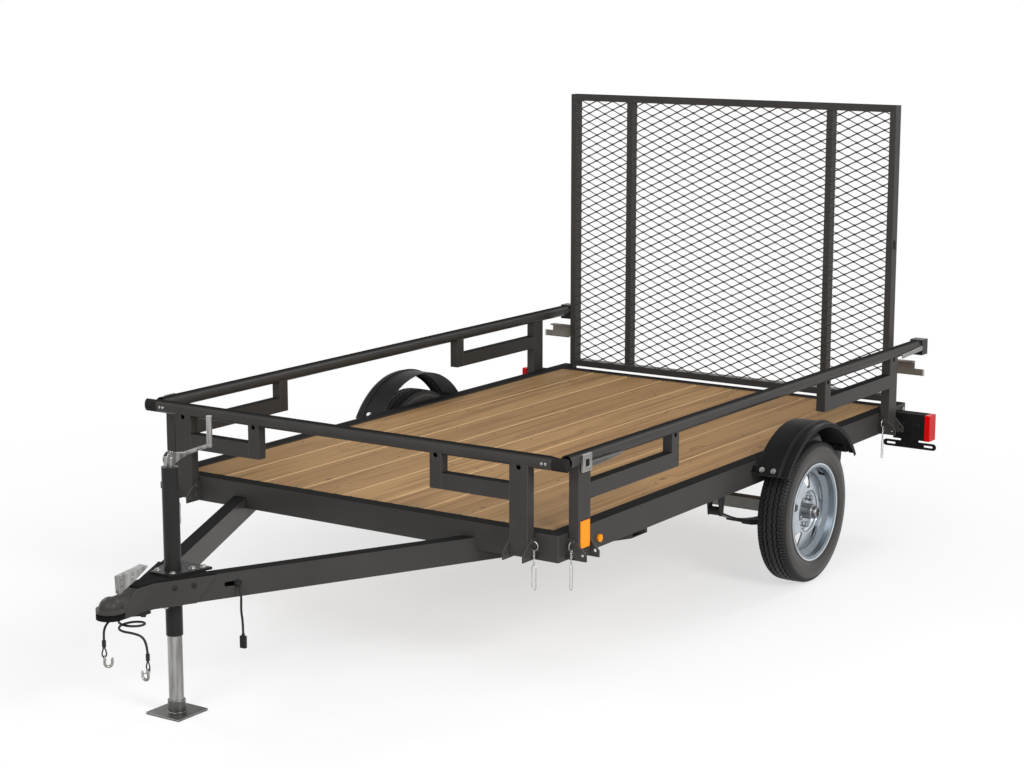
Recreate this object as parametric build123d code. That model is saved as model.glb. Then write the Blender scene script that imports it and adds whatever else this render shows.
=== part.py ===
"""Single-axle utility trailer with tube rails, a mesh ramp gate, a ball coupler and a jack.

X points to the trailer's left, Y to its rear and Z up, with the ground at zero.
Everything is laid out from the front edge of the deck, and moved so that the middle
of the trailer's length is at the origin when it is saved.
"""
from build123d import *
import math
import os

os.makedirs("parts", exist_ok=True)

# One overrun for every cut, and the gaps left between pieces.
overrun = 2.0
seat_gap = 0.3
full_turn = 360.0
moving_gap = 1.0
pin_clearance = 0.3

# Deck of lengthwise planks.
deck_height = 532.0
plank_count = 9
plank_width = 184.0
plank_gap = 6.0
plank_thickness = 38.0
plank_edge = 3.0
deck_length = 2700.0
deck_fit = 1.0
deck_width = plank_count * plank_width + (plank_count - 1) * plank_gap
deck_underside = deck_height - plank_thickness

# Frame of mitred box section around the deck.
frame_tube_width = 57.0
frame_tube_height = 98.0
frame_wall = 3.0
frame_lip = 6.0
frame_top = deck_height + frame_lip
frame_bottom = frame_top - frame_tube_height
frame_inner_x = deck_width / 2 + deck_fit
frame_outer_x = frame_inner_x + frame_tube_width
frame_inner_front_y = -deck_fit
frame_inner_rear_y = deck_length + deck_fit
frame_front_y = frame_inner_front_y - frame_tube_width
rear_member_width = 35.0
rear_member_y = frame_inner_rear_y + rear_member_width
side_overhang = 120.0
side_end_y = deck_length + side_overhang

# Crossmembers under the planks.
cross_flange = 42.0
cross_wall = 4.0
cross_count = 4
cross_first_y = 645.0
cross_last_inset = 350.0
cross_last_y = deck_length - cross_last_inset

# Tongue: two beams that meet under the coupler.
tongue_angle = 26.5
beam_width = 50.8
beam_height = 88.0
beam_wall = 3.2
beam_drop = 50.0
beam_top = deck_height - beam_drop
beam_bottom = beam_top - beam_height
tongue_point_y = -1185.0
beam_half_gap = 0.5
lead_slot_length = 62.0
lead_slot_height = 17.0
lead_slot_back = 305.0
lead_slot_y = tongue_point_y + lead_slot_back
lead_slot_drop = 40.0
tongue_slope = math.tan(math.radians(tongue_angle))
tongue_cosine = math.cos(math.radians(tongue_angle))
tongue_sine = math.sin(math.radians(tongue_angle))

# Coupler for a ball of two inches.
ball_radius = 25.4
ball_clearance = 0.4
dome_wall = 12.0
dome_ahead = 115.0
dome_y = tongue_point_y - dome_ahead
dome_radius = ball_radius + dome_wall
neck_half = 31.0
dome_top_drop = 60.0
dome_top = deck_height - dome_top_drop
ball_height = dome_top - dome_radius
skirt_depth = 34.0
lip_radius = 47.0
lip_ring_thickness = 14.0
lip_groove_radius = 43.0
coupler_wall = 5.0
wing_back = 250.0
wing_rear_y = tongue_point_y + wing_back
wing_cut = 65.0
neck_slope_ahead = 82.0
neck_slope_front_y = tongue_point_y - neck_slope_ahead
neck_top_ahead = 16.0
neck_slope_rear_y = tongue_point_y - neck_top_ahead
neck_step = 3.0
neck_side_height = dome_top - neck_half - neck_step
neck_hollow_ahead = 73.0
neck_hollow_front_y = tongue_point_y - neck_hollow_ahead

# Coupler latch lever.
latch_front_half = 8.5
latch_rear_half = 17.0
latch_wall = 2.5
latch_lip = 5.0
latch_foot = 3.0
latch_ahead = 83.0
latch_front_y = tongue_point_y - latch_ahead
latch_back = 44.0
latch_rear_y = tongue_point_y + latch_back
latch_bend_ahead = 15.0
latch_bend_y = tongue_point_y - latch_bend_ahead
latch_rise = 10.0
latch_top = deck_height + latch_rise
latch_front_top = deck_height
latch_bend_drop = 31.0
latch_bend_height = deck_height - latch_bend_drop
latch_pin_ahead = 74.0
latch_pin_y = tongue_point_y - latch_pin_ahead
latch_hole_radius = 3.0
latch_holes = ((14.0, 24.0), (14.0, 44.0), (62.0, 48.0))

# Jack on the centre line.
jack_back = 180.0
jack_y = tongue_point_y + jack_back
jack_tube_radius = 28.5
jack_tube_wall = 3.0
jack_rise = 313.0
jack_top = deck_height + jack_rise
jack_drop = 261.0
jack_bottom = deck_height - jack_drop
jack_leg_gap = 0.5
jack_leg_wall = 3.0
jack_leg_overlap = 230.0
foot_size = 150.0
foot_thickness = 6.0
foot_corner = 8.0
foot_collar_wall = 5.0
foot_collar_height = 40.0
jack_plate_thickness = 9.0
jack_plate_front = 62.0
jack_plate_rear = 96.0
jack_plate_half_front = 44.0
jack_plate_half_rear = 88.0
jack_cap_thickness = 5.0
crank_stem_radius = 12.0
crank_rise = 27.0
crank_head_half = 22.0
crank_head_thickness = 12.0
crank_arm_length = 196.0
crank_arm_radius = 6.5
crank_arm_rise = 10.0
crank_grip_radius = 10.0
crank_grip_length = 100.0

# Wheels and axle.
wheel_place_share = 11 / 18
wheel_y = deck_length * wheel_place_share
tyre_radius = 290.0
tyre_width = 132.0
wheel_frame_gap = 13.0
tyre_outer_x = frame_outer_x + wheel_frame_gap + tyre_width
tyre_middle_x = tyre_outer_x - tyre_width / 2
tread_half_share = 0.40
shoulder_share = 0.47
belly_share = 8 / 15
tyre_bead_half = 55.0
rim_share = 20 / 29
rim_radius = tyre_radius * rim_share
tyre_belly_radius = rim_radius + (tyre_radius - rim_radius) * belly_share
rim_half_width = 59.0
bead_seat_depth = 13.0
bead_seat_radius = rim_radius - bead_seat_depth
rim_well_depth = 37.0
rim_well_radius = rim_radius - rim_well_depth
rim_wall = 4.0
disc_radius = rim_well_radius - rim_wall
disc_wall = 6.0
disc_plane_offset = 8.0
disc_hub_radius = 76.0
disc_dish = 22.0
disc_crest_radius = 88.0
spoke_count = 5
window_inner_radius = 97.0
window_inset = 11.0
window_outer_radius = disc_radius - window_inset
window_inner_half = 10.0
window_outer_half = 38.0
window_corner = 5.0
lug_circle_radius = 57.15
lug_radius = 10.5
lug_length = 20.0
hub_flange_radius = 70.0
hub_flange_wall = 9.0
hub_body_radius = 44.0
hub_body_length = 58.0
hub_nose_radius = 31.0
hub_nose_length = 50.0
grease_cap_radius = 24.0
grease_cap_length = 20.0
spindle_radius = 17.0
spindle_fit = 0.05
spindle_length_share = 0.75
axle_tube = 50.0
axle_wall = 5.0
axle_end_inset = 5.0
axle_end_x = frame_outer_x - axle_end_inset

# Leaf springs under the side members.
spring_inset = 38.0
spring_x = frame_outer_x - spring_inset
spring_width = 44.0
leaf_thickness = 8.0
leaf_count = 3
leaf_step_share = 0.25
spring_half_length = 520.0
spring_eye_radius = 17.0
spring_eye_drop = 62.0
spring_eye_height = frame_bottom - spring_eye_drop
hanger_bolt_radius = 8.0
hanger_wall = 5.0
hanger_half_length = 24.0
clamp_plate_thickness = 8.0
clamp_plate_half = 55.0
clamp_rod_radius = 5.5
clamp_rod_end = 14.0

# Fenders: a rolled strip with a bead and a turned outer edge.
fender_tyre_gap = 80.0
fender_radius = tyre_radius + fender_tyre_gap
fender_frame_gap = 20.0
fender_inner_x = frame_outer_x + fender_frame_gap
fender_overhang = 20.0
fender_outer_x = tyre_outer_x + fender_overhang
fender_wall = 3.0
fender_bead_inset = 33.0
fender_bead_x = fender_outer_x - fender_bead_inset
fender_bead_width = 12.0
fender_bead_rise = 6.0
fender_step_inset = 13.0
fender_step_x = fender_outer_x - fender_step_inset
fender_step_drop = 5.0
fender_edge_drop = 20.0
fender_front_angle = 147.0
fender_rear_angle = 31.0
fender_arm_width = 30.0
fender_arm_wall = 5.0
fender_arm_angles = (143.5, 34.5)

# Rails of round tube on posts that stand against the frame's outer face.
rail_tube_radius = 25.4
rail_tube_wall = 2.5
rail_rise = 265.0
rail_height = deck_height + rail_rise
post_width = 76.0
post_depth = 40.0
post_wall = 2.5
post_frame_gap = 5.0
short_post_width = 50.0
brace_rise = 118.0
brace_bottom = deck_height + brace_rise
brace_height = 59.0
notch_radius = 10.0
side_front_post_y = 0.0
side_rear_post_inset = 155.0
side_rear_post_y = deck_length - side_rear_post_inset
side_front_gap = 564.0
side_rear_gap = 590.0
front_post_inset = 98.0
front_post_x = frame_outer_x - front_post_inset - post_width
front_gap = 290.0
corner_gap = 8.0
side_tube_overhang = 42.0
side_tube_rear_y = side_end_y + side_tube_overhang
rail_offset = post_frame_gap + post_depth / 2
side_rail_x = frame_outer_x + rail_offset
front_tube_overhang = 33.0
front_tube_half = side_rail_x + front_tube_overhang
front_rail_y = frame_front_y - rail_offset
side_tube_front_y = front_rail_y + rail_tube_radius + corner_gap

# Pivots: two ears on the frame beside each tall post, with a bolt through the post.
# A pull pin locks the post above the bolt, and goes into the outer hole when it is down.
ear_wall = 5.0
ear_reach = 81.0
ear_nose = 24.0
ear_rise = 74.0
ear_lift = 4.0
ear_bottom = frame_bottom + ear_lift
ear_shoulder = 30.0
pivot_drop = 66.0
pivot_height = deck_height - pivot_drop
pivot_bolt_radius = 6.0
pivot_head_radius = 10.0
pivot_head_length = 6.0
lock_spacing = 39.0
lock_radius = 6.0
lock_head_radius = 8.0
lock_head_length = 8.0

# Corner latches on the side rails.
latch_front_block_y = 2.0
latch_block_length = 66.0
latch_block_height = 70.0
latch_block_depth = 9.0
latch_block_drop = 10.0
latch_window = 26.0
handle_length = 212.0
handle_height = 20.0
handle_wall = 5.0
handle_drop = 20.0
end_block_length = 64.0
end_block_half = 31.0
end_block_corner = 14.0
end_tip_length = 10.0
end_tip_half = 22.0

# Ramp gate between the rear ends of the side members.
gate_side_gap = 6.0
gate_half_width = frame_inner_x - gate_side_gap
gate_bar = 30.0
gate_depth = 50.0
gate_bar_wall = 2.5
gate_inset = 56.0
gate_front_y = side_end_y - gate_inset
gate_rear_y = gate_front_y + gate_depth
gate_floor_gap = 10.0
gate_bottom = deck_height + gate_floor_gap
gate_rise = 1336.0
gate_top = deck_height + gate_rise
gate_upright_share = 0.6163
gate_upright_x = gate_half_width * gate_upright_share
hinge_y = gate_front_y + gate_depth / 2
hinge_drop = 19.0
hinge_height = deck_height - hinge_drop
hinge_radius = 16.0
hinge_bolt_radius = 6.5
hinge_lug_width = 12.0
hinge_head_radius = 11.0
hinge_head_length = 7.0
mesh_pitch_x = 88.0
mesh_pitch_z = 41.0
mesh_strand = 4.0
mesh_layer = 1.8
mesh_setback = 2.0
plate_top_reach = 116.0
plate_inner_top_x = gate_half_width + plate_top_reach
plate_reach = 163.0
plate_tip_x = gate_half_width + plate_reach
plate_top_rise = 206.0
plate_top = deck_height + plate_top_rise
plate_step_rise = 171.0
plate_step = deck_height + plate_step_rise
plate_low_rise = 142.0
plate_bottom = deck_height + plate_low_rise
plate_wall = 6.0
plate_lip = 24.0

# Lights and small fittings on the outside of the side members.
lamp_front_y = deck_length
lamp_reach = 150.0
lamp_outer_x = frame_outer_x + lamp_reach
lens_depth = 24.0
lens_outer_x = lamp_outer_x + lens_depth
lamp_low_drop = 134.0
lamp_bottom = deck_height - lamp_low_drop
lamp_top_drop = 18.0
lamp_top = deck_height - lamp_top_drop
lamp_depth = 62.0
lamp_wall = 4.0
lens_proud = 5.0
holder_reach = 81.0
holder_x = frame_outer_x + holder_reach
holder_half = 126.0
holder_height = 30.0
holder_wall = 3.0
holder_drop = 157.0
holder_neck_half = 42.0
holder_lap = 28.0
holder_slot_x = 88.9
holder_slot_length = 42.0
holder_slot_height = 9.0
marker_width = 56.0
marker_height = 96.0
marker_depth = 5.0
marker_drop = 48.0
marker_bottom = deck_height - marker_drop
button_radius = 14.0
button_depth = 9.0
button_y = 205.0
button_drop = 57.0
button_height = deck_height - button_drop

# Cords: safety cables and the wiring lead, with the anchor that holds the cables.
cable_radius = 4.0
lead_radius = 4.0
cord_arc_share = 0.45
anchor_half = 36.0
anchor_back = 11.0
anchor_y = tongue_point_y + anchor_back
anchor_length = 44.0
anchor_thickness = 8.0
ferrule_radius = 7.0
ferrule_length = 14.0
loop_x = 10.0
loop_ahead = 30.0
loop_radius = 45.0
loop_pitch = 22.0
loop_first_angle = 90.0
loop_step = 45.0
loop_point_count = 14
hook_wire = 4.5
hook_bend = 13.0
hook_shank = 44.0
hook_short_length = 16.0
left_hook_turn = 180.0
right_hook_turn = 60.0
loop_drop = 14.0
grommet_plate_radius = 12.0
grommet_plate_thickness = 3.0
grommet_radius = 7.5
grommet_length = 12.0
plug_width = 22.0
plug_depth = 14.0
plug_length = 42.0
plug_neck = 8.0
grommet_back = 319.0
grommet_y = tongue_point_y + grommet_back

# The nose and the tail place the middle of the trailer at the origin.
nose_y = dome_y - lip_radius
tail_y = side_tube_rear_y + end_block_length + end_tip_length
middle_y = (nose_y + tail_y) / 2


def block(x_low, x_high, y_low, y_high, z_low, z_high):
    """Box between two corners."""
    box = Box(x_high - x_low, y_high - y_low, z_high - z_low)
    return Pos((x_low + x_high) / 2, (y_low + y_high) / 2, (z_low + z_high) / 2) * box


def rod(start, end, radius):
    """Round bar between two points."""
    line = Vector(*end) - Vector(*start)
    bar = Cylinder(radius, line.length, align=(Align.CENTER, Align.CENTER, Align.MIN))
    return Plane(origin=start, z_dir=line) * bar


def pipe(start, end, radius, wall):
    """Round tube between two points, with open ends."""
    first = Vector(*start)
    last = Vector(*end)
    beyond = (last - first).normalized() * overrun
    return rod(first, last, radius) - rod(first - beyond, last + beyond, radius - wall)


def across_x(points, x_low, x_high):
    """Plate with an outline in Y and Z, between two X planes."""
    outline = Polyline([(x_low, y, z) for y, z in points], close=True)
    return extrude(make_face(outline), amount=x_high - x_low, dir=(1, 0, 0))


def across_y(points, y_low, y_high):
    """Plate with an outline in X and Z, between two Y planes."""
    outline = Polyline([(x, y_low, z) for x, z in points], close=True)
    return extrude(make_face(outline), amount=y_high - y_low, dir=(0, 1, 0))


def across_z(points, z_low, z_high):
    """Plate with an outline in X and Y, between two Z planes."""
    outline = Polyline([(x, y, z_low) for x, y in points], close=True)
    return extrude(make_face(outline), amount=z_high - z_low, dir=(0, 0, 1))


def spun_about_axle(points, x_middle, angle=full_turn, start_angle=0.0):
    """Ring turned about the wheel's axle from an outline of offsets in X and radii."""
    outline = Polyline([(x_middle + x, radius, 0) for x, radius in points], close=True)
    ring = revolve(make_face(outline), axis=Axis.X, revolution_arc=angle)
    return Pos(0, wheel_y, tyre_radius) * Rot(start_angle, 0, 0) * ring


def other_side(shape):
    """The same piece on the trailer's right."""
    return mirror(shape, about=Plane.YZ)


def save(node, *shapes):
    """Write one node, which may hold several separate solids."""
    solids = [solid for shape in shapes for solid in shape.solids()]
    moved = [Pos(0, -middle_y, 0) * solid for solid in solids]
    piece = moved[0] if len(moved) == 1 else Compound(moved)
    export_step(piece, "parts/" + node + ".step")


def deck_planks():
    """Planks with rounded long edges."""
    planks = []
    for number in range(plank_count):
        x_low = -deck_width / 2 + number * (plank_width + plank_gap)
        plank = block(x_low, x_low + plank_width, 0, deck_length, deck_underside, deck_height)
        planks.append(fillet(plank.edges().filter_by(Axis.Y), plank_edge))
    return planks


def front_member():
    """Box section across the front, mitred to the side members at both ends."""
    def prism(inset, z_low, z_high):
        near = frame_outer_x - inset
        far = frame_inner_x + inset
        points = [(-near, frame_front_y + inset), (near, frame_front_y + inset),
                  (far, frame_inner_front_y - inset), (-far, frame_inner_front_y - inset)]
        return across_z(points, z_low, z_high)
    hollow = prism(frame_wall, frame_bottom + frame_wall, frame_top - frame_wall)
    return prism(0, frame_bottom, frame_top) - hollow


def side_member():
    """Left box section, mitred at the front and running past the rear member to the gate."""
    def prism(inset, z_low, z_high):
        near = frame_outer_x - inset
        far = frame_inner_x + inset
        points = [(near, frame_front_y + inset), (near, side_end_y - inset),
                  (far, side_end_y - inset), (far, frame_inner_front_y - inset)]
        return across_z(points, z_low, z_high)
    hollow = prism(frame_wall, frame_bottom + frame_wall, frame_top - frame_wall)
    bolt_hole = rod((frame_inner_x - overrun, hinge_y, hinge_height),
                    (frame_outer_x + overrun, hinge_y, hinge_height), hinge_bolt_radius + seat_gap)
    return prism(0, frame_bottom, frame_top) - hollow - bolt_hole


def rear_member():
    """Box section across the rear, between the side members."""
    member = block(-frame_inner_x, frame_inner_x, frame_inner_rear_y, rear_member_y,
                   frame_bottom, frame_top)
    return member - block(-frame_inner_x - overrun, frame_inner_x + overrun,
                          frame_inner_rear_y + frame_wall, rear_member_y - frame_wall,
                          frame_bottom + frame_wall, frame_top - frame_wall)


def beam_outer_x(y):
    """Where the outer face of the left beam stands at a place along the trailer."""
    return tongue_slope * (y - tongue_point_y)


def beam_outer_y(x):
    """Where along the trailer the outer face of the left beam reaches a distance out."""
    return tongue_point_y + x / tongue_slope


def tongue_beam():
    """Left tongue beam: box section, cut at the middle plane and at the side member."""
    def prism(inset, z_low, z_high):
        outer = inset / tongue_sine
        inner = (beam_width - inset) / tongue_sine
        points = [(beam_half_gap, beam_outer_y(beam_half_gap) + outer),
                  (frame_inner_x, beam_outer_y(frame_inner_x) + outer),
                  (frame_inner_x, beam_outer_y(frame_inner_x) + inner),
                  (beam_half_gap, beam_outer_y(beam_half_gap) + inner)]
        return across_z(points, z_low, z_high)
    beam = prism(0, beam_bottom, beam_top)
    beam -= prism(beam_wall, beam_bottom + beam_wall, beam_top - beam_wall)
    face = Plane(origin=(beam_outer_x(lead_slot_y), lead_slot_y, beam_top - lead_slot_drop),
                 x_dir=(tongue_sine, tongue_cosine, 0), z_dir=(tongue_cosine, -tongue_sine, 0))
    slot = extrude(face * SlotOverall(lead_slot_length, lead_slot_height),
                   amount=beam_width / 2, both=True)
    jack_room = rod((0, jack_y, beam_bottom - overrun), (0, jack_y, beam_top + overrun),
                    jack_tube_radius + seat_gap)
    return beam - slot - jack_room


def frame_with_tongue_notch(member):
    """The front member with room cut for the two tongue beams under it."""
    cut = across_z([(beam_outer_x(frame_front_y - overrun), frame_front_y - overrun),
                    (beam_outer_x(overrun), overrun),
                    (beam_outer_x(overrun) - beam_width / tongue_cosine, overrun),
                    (beam_outer_x(frame_front_y - overrun) - beam_width / tongue_cosine,
                     frame_front_y - overrun)],
                   frame_bottom - overrun, beam_top)
    return member - cut - other_side(cut)


def crossmembers():
    """Channels under the planks, and shallow angles at the front and rear."""
    pieces = []
    pitch = (cross_last_y - cross_first_y) / (cross_count - 1)
    for number in range(cross_count):
        y = cross_first_y + number * pitch
        channel = block(-frame_inner_x, frame_inner_x, y, y + cross_flange, frame_bottom, deck_underside)
        channel -= block(-frame_inner_x - overrun, frame_inner_x + overrun, y + cross_wall,
                         y + cross_flange + overrun, frame_bottom + cross_wall,
                         deck_underside - cross_wall)
        pieces.append(channel)
    front = frame_inner_front_y
    angle = block(-frame_inner_x, frame_inner_x, front, front + cross_flange,
                  deck_underside - cross_wall, deck_underside)
    pieces.append(angle)
    rear = frame_inner_rear_y
    angle = block(-frame_inner_x, frame_inner_x, rear - cross_flange, rear,
                  frame_bottom, deck_underside)
    angle -= block(-frame_inner_x - overrun, frame_inner_x + overrun,
                   rear - cross_flange - overrun, rear - cross_wall,
                   frame_bottom - overrun, deck_underside - cross_wall)
    pieces.append(angle)
    return pieces


def coupler():
    """Ball dome with a flared lip, and a hood over the meeting beams with two wings."""
    lip_bottom = ball_height - skirt_depth
    top = beam_top + coupler_wall
    wing_out = coupler_wall / tongue_cosine

    def plan(inset, rear):
        half = neck_half - inset
        out = wing_out if inset == 0 else 0
        front = dome_y if inset == 0 else neck_hollow_front_y
        bend = beam_outer_y(half - out)
        return [(-half, front), (half, front), (half, bend), (beam_outer_x(rear) + out, rear),
                (-beam_outer_x(rear) - out, rear), (-half, bend)]

    def side_view(inset, front, rear):
        return [(front, beam_bottom - overrun), (front, neck_side_height),
                (neck_slope_front_y, neck_side_height), (neck_slope_rear_y, top - inset),
                (rear, top - inset), (rear, beam_bottom - overrun)]

    reach = 2 * beam_outer_x(wing_rear_y)
    outside = across_z(plan(0, wing_rear_y), beam_bottom, top)
    outside &= across_x(side_view(0, dome_y, wing_rear_y), -reach, reach)
    outside -= across_x([(wing_rear_y - wing_cut, beam_bottom), (wing_rear_y + overrun, beam_bottom),
                         (wing_rear_y + overrun, top)], -reach, reach)
    outside += rod((0, dome_y, neck_side_height), (0, tongue_point_y, neck_side_height), neck_half)
    inside = across_z(plan(coupler_wall, wing_rear_y + overrun), beam_bottom - overrun, beam_top)
    inside &= across_x(side_view(coupler_wall, neck_hollow_front_y, wing_rear_y + overrun), -reach, reach)
    inside += rod((0, neck_hollow_front_y, neck_side_height), (0, tongue_point_y + overrun, neck_side_height),
                  neck_half - coupler_wall)
    shell = outside - inside
    shell += Pos(0, dome_y, ball_height) * Sphere(dome_radius)
    rings = [
        # lower end, upper end, radius
        (lip_bottom, lip_bottom + lip_ring_thickness, lip_radius),
        (lip_bottom, ball_height, lip_groove_radius),
        (ball_height - lip_ring_thickness, ball_height, lip_radius),
    ]
    for low, high, radius in rings:
        shell += rod((0, dome_y, low), (0, dome_y, high), radius)
    shell -= Pos(0, dome_y, ball_height) * Sphere(ball_radius + ball_clearance)
    shell -= rod((0, dome_y, lip_bottom - dome_radius), (0, dome_y, ball_height),
                 ball_radius + ball_clearance)
    shell -= rod((0, jack_y, beam_bottom - overrun), (0, jack_y, top + overrun),
                 jack_tube_radius + seat_gap)
    return shell


def coupler_latch():
    """Folded lever that stands on the coupler's neck, narrow in front and open below."""
    side = [(latch_front_y, latch_front_top), (latch_front_y + latch_foot, dome_top),
            (latch_bend_y, latch_bend_height), (latch_rear_y, latch_top - latch_lip),
            (latch_rear_y, latch_top)]

    def lever(inset):
        plan = [(-latch_front_half + inset, latch_front_y), (latch_front_half - inset, latch_front_y),
                (latch_rear_half - inset, latch_rear_y), (-latch_rear_half + inset, latch_rear_y)]
        return across_z(plan, dome_top - overrun, latch_top + overrun)

    hollow = [(latch_front_y + latch_wall, dome_top - overrun),
              (latch_front_y + latch_wall, latch_front_top - latch_wall),
              (latch_rear_y + overrun, latch_top - latch_wall), (latch_rear_y + overrun, dome_top - overrun)]
    piece = across_x(side, -latch_rear_half, latch_rear_half) & lever(0)
    piece -= across_x(hollow, -latch_rear_half, latch_rear_half) & lever(latch_wall)
    for y, height in latch_holes:
        piece -= rod((-latch_rear_half - overrun, latch_front_y + y, dome_top + height),
                     (latch_rear_half + overrun, latch_front_y + y, dome_top + height), latch_hole_radius)
    post = rod((0, latch_pin_y, neck_side_height), (0, latch_pin_y, latch_front_top),
               latch_front_half - latch_wall)
    return piece + post - rod((0, latch_front_y, neck_side_height), (0, tongue_point_y, neck_side_height),
                              neck_half + seat_gap / 2)


def jack_outer_tube():
    """Outer tube of the jack with its cap."""
    tube = pipe((0, jack_y, jack_bottom), (0, jack_y, jack_top), jack_tube_radius, jack_tube_wall)
    return tube + rod((0, jack_y, jack_top - jack_cap_thickness), (0, jack_y, jack_top), jack_tube_radius)


def jack_plate():
    """Mount plate that clamps the jack on top of the coupler."""
    low = beam_top + coupler_wall
    plate = across_z([(-jack_plate_half_front, jack_y - jack_plate_front),
                      (jack_plate_half_front, jack_y - jack_plate_front),
                      (jack_plate_half_rear, jack_y + jack_plate_rear),
                      (-jack_plate_half_rear, jack_y + jack_plate_rear)],
                     low, low + jack_plate_thickness)
    return plate - rod((0, jack_y, low - overrun), (0, jack_y, low + jack_plate_thickness + overrun),
                       jack_tube_radius + seat_gap)


def jack_crank():
    """Crank: stem, head plate, arm to the rear and an upright grip."""
    arm_height = jack_top + crank_rise
    stem = rod((0, jack_y, jack_top), (0, jack_y, arm_height), crank_stem_radius)
    head = block(-crank_head_thickness / 2, crank_head_thickness / 2, jack_y - crank_head_half,
                 jack_y + crank_head_half, arm_height - crank_head_half, arm_height + crank_head_half / 2)
    tip = (0, jack_y + crank_arm_length, arm_height + crank_arm_rise)
    arm = rod((0, jack_y, arm_height), tip, crank_arm_radius)
    grip = rod((0, tip[1], tip[2] - crank_arm_radius), (0, tip[1], tip[2] + crank_grip_length),
               crank_grip_radius)
    return stem + head + arm + grip


def jack_leg():
    """Inner tube of the jack, run down to the ground."""
    radius = jack_tube_radius - jack_tube_wall - jack_leg_gap
    return pipe((0, jack_y, foot_thickness), (0, jack_y, jack_bottom + jack_leg_overlap),
                radius, jack_leg_wall)


def jack_foot():
    """Square foot plate with a collar round the leg."""
    half = foot_size / 2
    plate = block(-half, half, jack_y - half, jack_y + half, 0, foot_thickness)
    plate = fillet(plate.edges().filter_by(Axis.Z), foot_corner)
    radius = jack_tube_radius - jack_tube_wall - jack_leg_gap
    collar = pipe((0, jack_y, foot_thickness), (0, jack_y, foot_thickness + foot_collar_height),
                  radius + foot_collar_wall, foot_collar_wall - seat_gap)
    return plate + collar


def tyre():
    """Left tyre, closed down to the bead seats."""
    half = tyre_width / 2
    tread = tyre_width * tread_half_share
    shoulder = tyre_width * shoulder_share
    shoulder_radius = (tyre_radius + tyre_belly_radius) / 2
    right = [(tread, tyre_radius), (shoulder, shoulder_radius), (half, tyre_belly_radius),
             (tyre_bead_half, rim_radius), (tyre_bead_half, bead_seat_radius)]
    left = [(-x, radius) for x, radius in reversed(right)]
    return spun_about_axle(right + left, tyre_middle_x)


def rim():
    """Left rim: rolled barrel and a dished disc with a window between each pair of spokes."""
    line = [(-rim_half_width, rim_radius), (-rim_half_width + rim_wall, bead_seat_radius),
            (-rim_half_width / 2, bead_seat_radius), (-rim_half_width / 4, rim_well_radius),
            (rim_half_width / 4, rim_well_radius), (rim_half_width / 2, bead_seat_radius),
            (rim_half_width - rim_wall, bead_seat_radius), (rim_half_width, rim_radius)]
    inside = [(x, radius - rim_wall) for x, radius in reversed(line)]
    barrel = spun_about_axle(line + inside, tyre_middle_x)
    back = disc_plane_offset
    points = [(back, hub_nose_radius + seat_gap), (back, disc_hub_radius),
              (back + disc_dish, disc_crest_radius), (back, disc_radius),
              (back - disc_wall, disc_radius),
              (back + disc_dish - disc_wall, disc_crest_radius - disc_wall / 2),
              (back - disc_wall, disc_hub_radius - disc_wall),
              (back - disc_wall, hub_nose_radius + seat_gap)]
    disc = spun_about_axle(points, tyre_middle_x)
    for number in range(spoke_count):
        outline = Polyline([(-window_inner_half, window_inner_radius),
                            (window_inner_half, window_inner_radius),
                            (window_outer_half, window_outer_radius),
                            (-window_outer_half, window_outer_radius)], close=True)
        window = fillet(make_face(outline).vertices(), window_corner)
        plane = Plane(origin=(tyre_middle_x - rim_half_width, wheel_y, tyre_radius),
                      x_dir=(0, 1, 0), z_dir=(1, 0, 0))
        turned = plane * Rot(0, 0, number * full_turn / spoke_count) * window
        disc -= extrude(turned, amount=2 * rim_half_width)
    return barrel + disc


def hub():
    """Left hub: flange behind the disc, nose through it, grease cap and lug nuts."""
    back = tyre_middle_x + disc_plane_offset - disc_wall
    inner = back - hub_flange_wall
    centre = (wheel_y, tyre_radius)
    piece = rod((inner, *centre), (back, *centre), hub_flange_radius)
    piece += rod((inner - hub_body_length, *centre), (inner, *centre), hub_body_radius)
    piece += rod((back, *centre), (back + hub_nose_length, *centre), hub_nose_radius)
    cap_start = back + hub_nose_length
    piece += rod((cap_start, *centre), (cap_start + grease_cap_length, *centre), grease_cap_radius)
    for number in range(spoke_count):
        turn = math.radians(90 + (number + 0.5) * full_turn / spoke_count)
        y = wheel_y + lug_circle_radius * math.cos(turn)
        z = tyre_radius + lug_circle_radius * math.sin(turn)
        face = back + disc_wall
        piece += rod((face, y, z), (face + lug_length, y, z), lug_radius)
    hub_depth = hub_body_length + hub_flange_wall + hub_nose_length
    bore_end = inner - hub_body_length + hub_depth * spindle_length_share
    piece -= rod((inner - hub_body_length - overrun, *centre), (bore_end, *centre),
                 spindle_radius + spindle_fit)
    return piece


def axle():
    """Square axle tube with a spindle in each end."""
    low = tyre_radius - axle_tube / 2
    high = tyre_radius + axle_tube / 2
    front = wheel_y - axle_tube / 2
    rear = wheel_y + axle_tube / 2
    tube = block(-axle_end_x, axle_end_x, front, rear, low, high)
    tube -= block(-axle_end_x + axle_tube, axle_end_x - axle_tube, front + axle_wall,
                  rear - axle_wall, low + axle_wall, high - axle_wall)
    hub_inner_x = tyre_middle_x + disc_plane_offset - disc_wall - hub_flange_wall - hub_body_length
    end = hub_inner_x + (hub_body_length + hub_flange_wall + hub_nose_length) * spindle_length_share
    spindle = rod((axle_end_x, wheel_y, tyre_radius), (end - moving_gap, wheel_y, tyre_radius),
                  spindle_radius)
    return tube + spindle + other_side(spindle)


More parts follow.
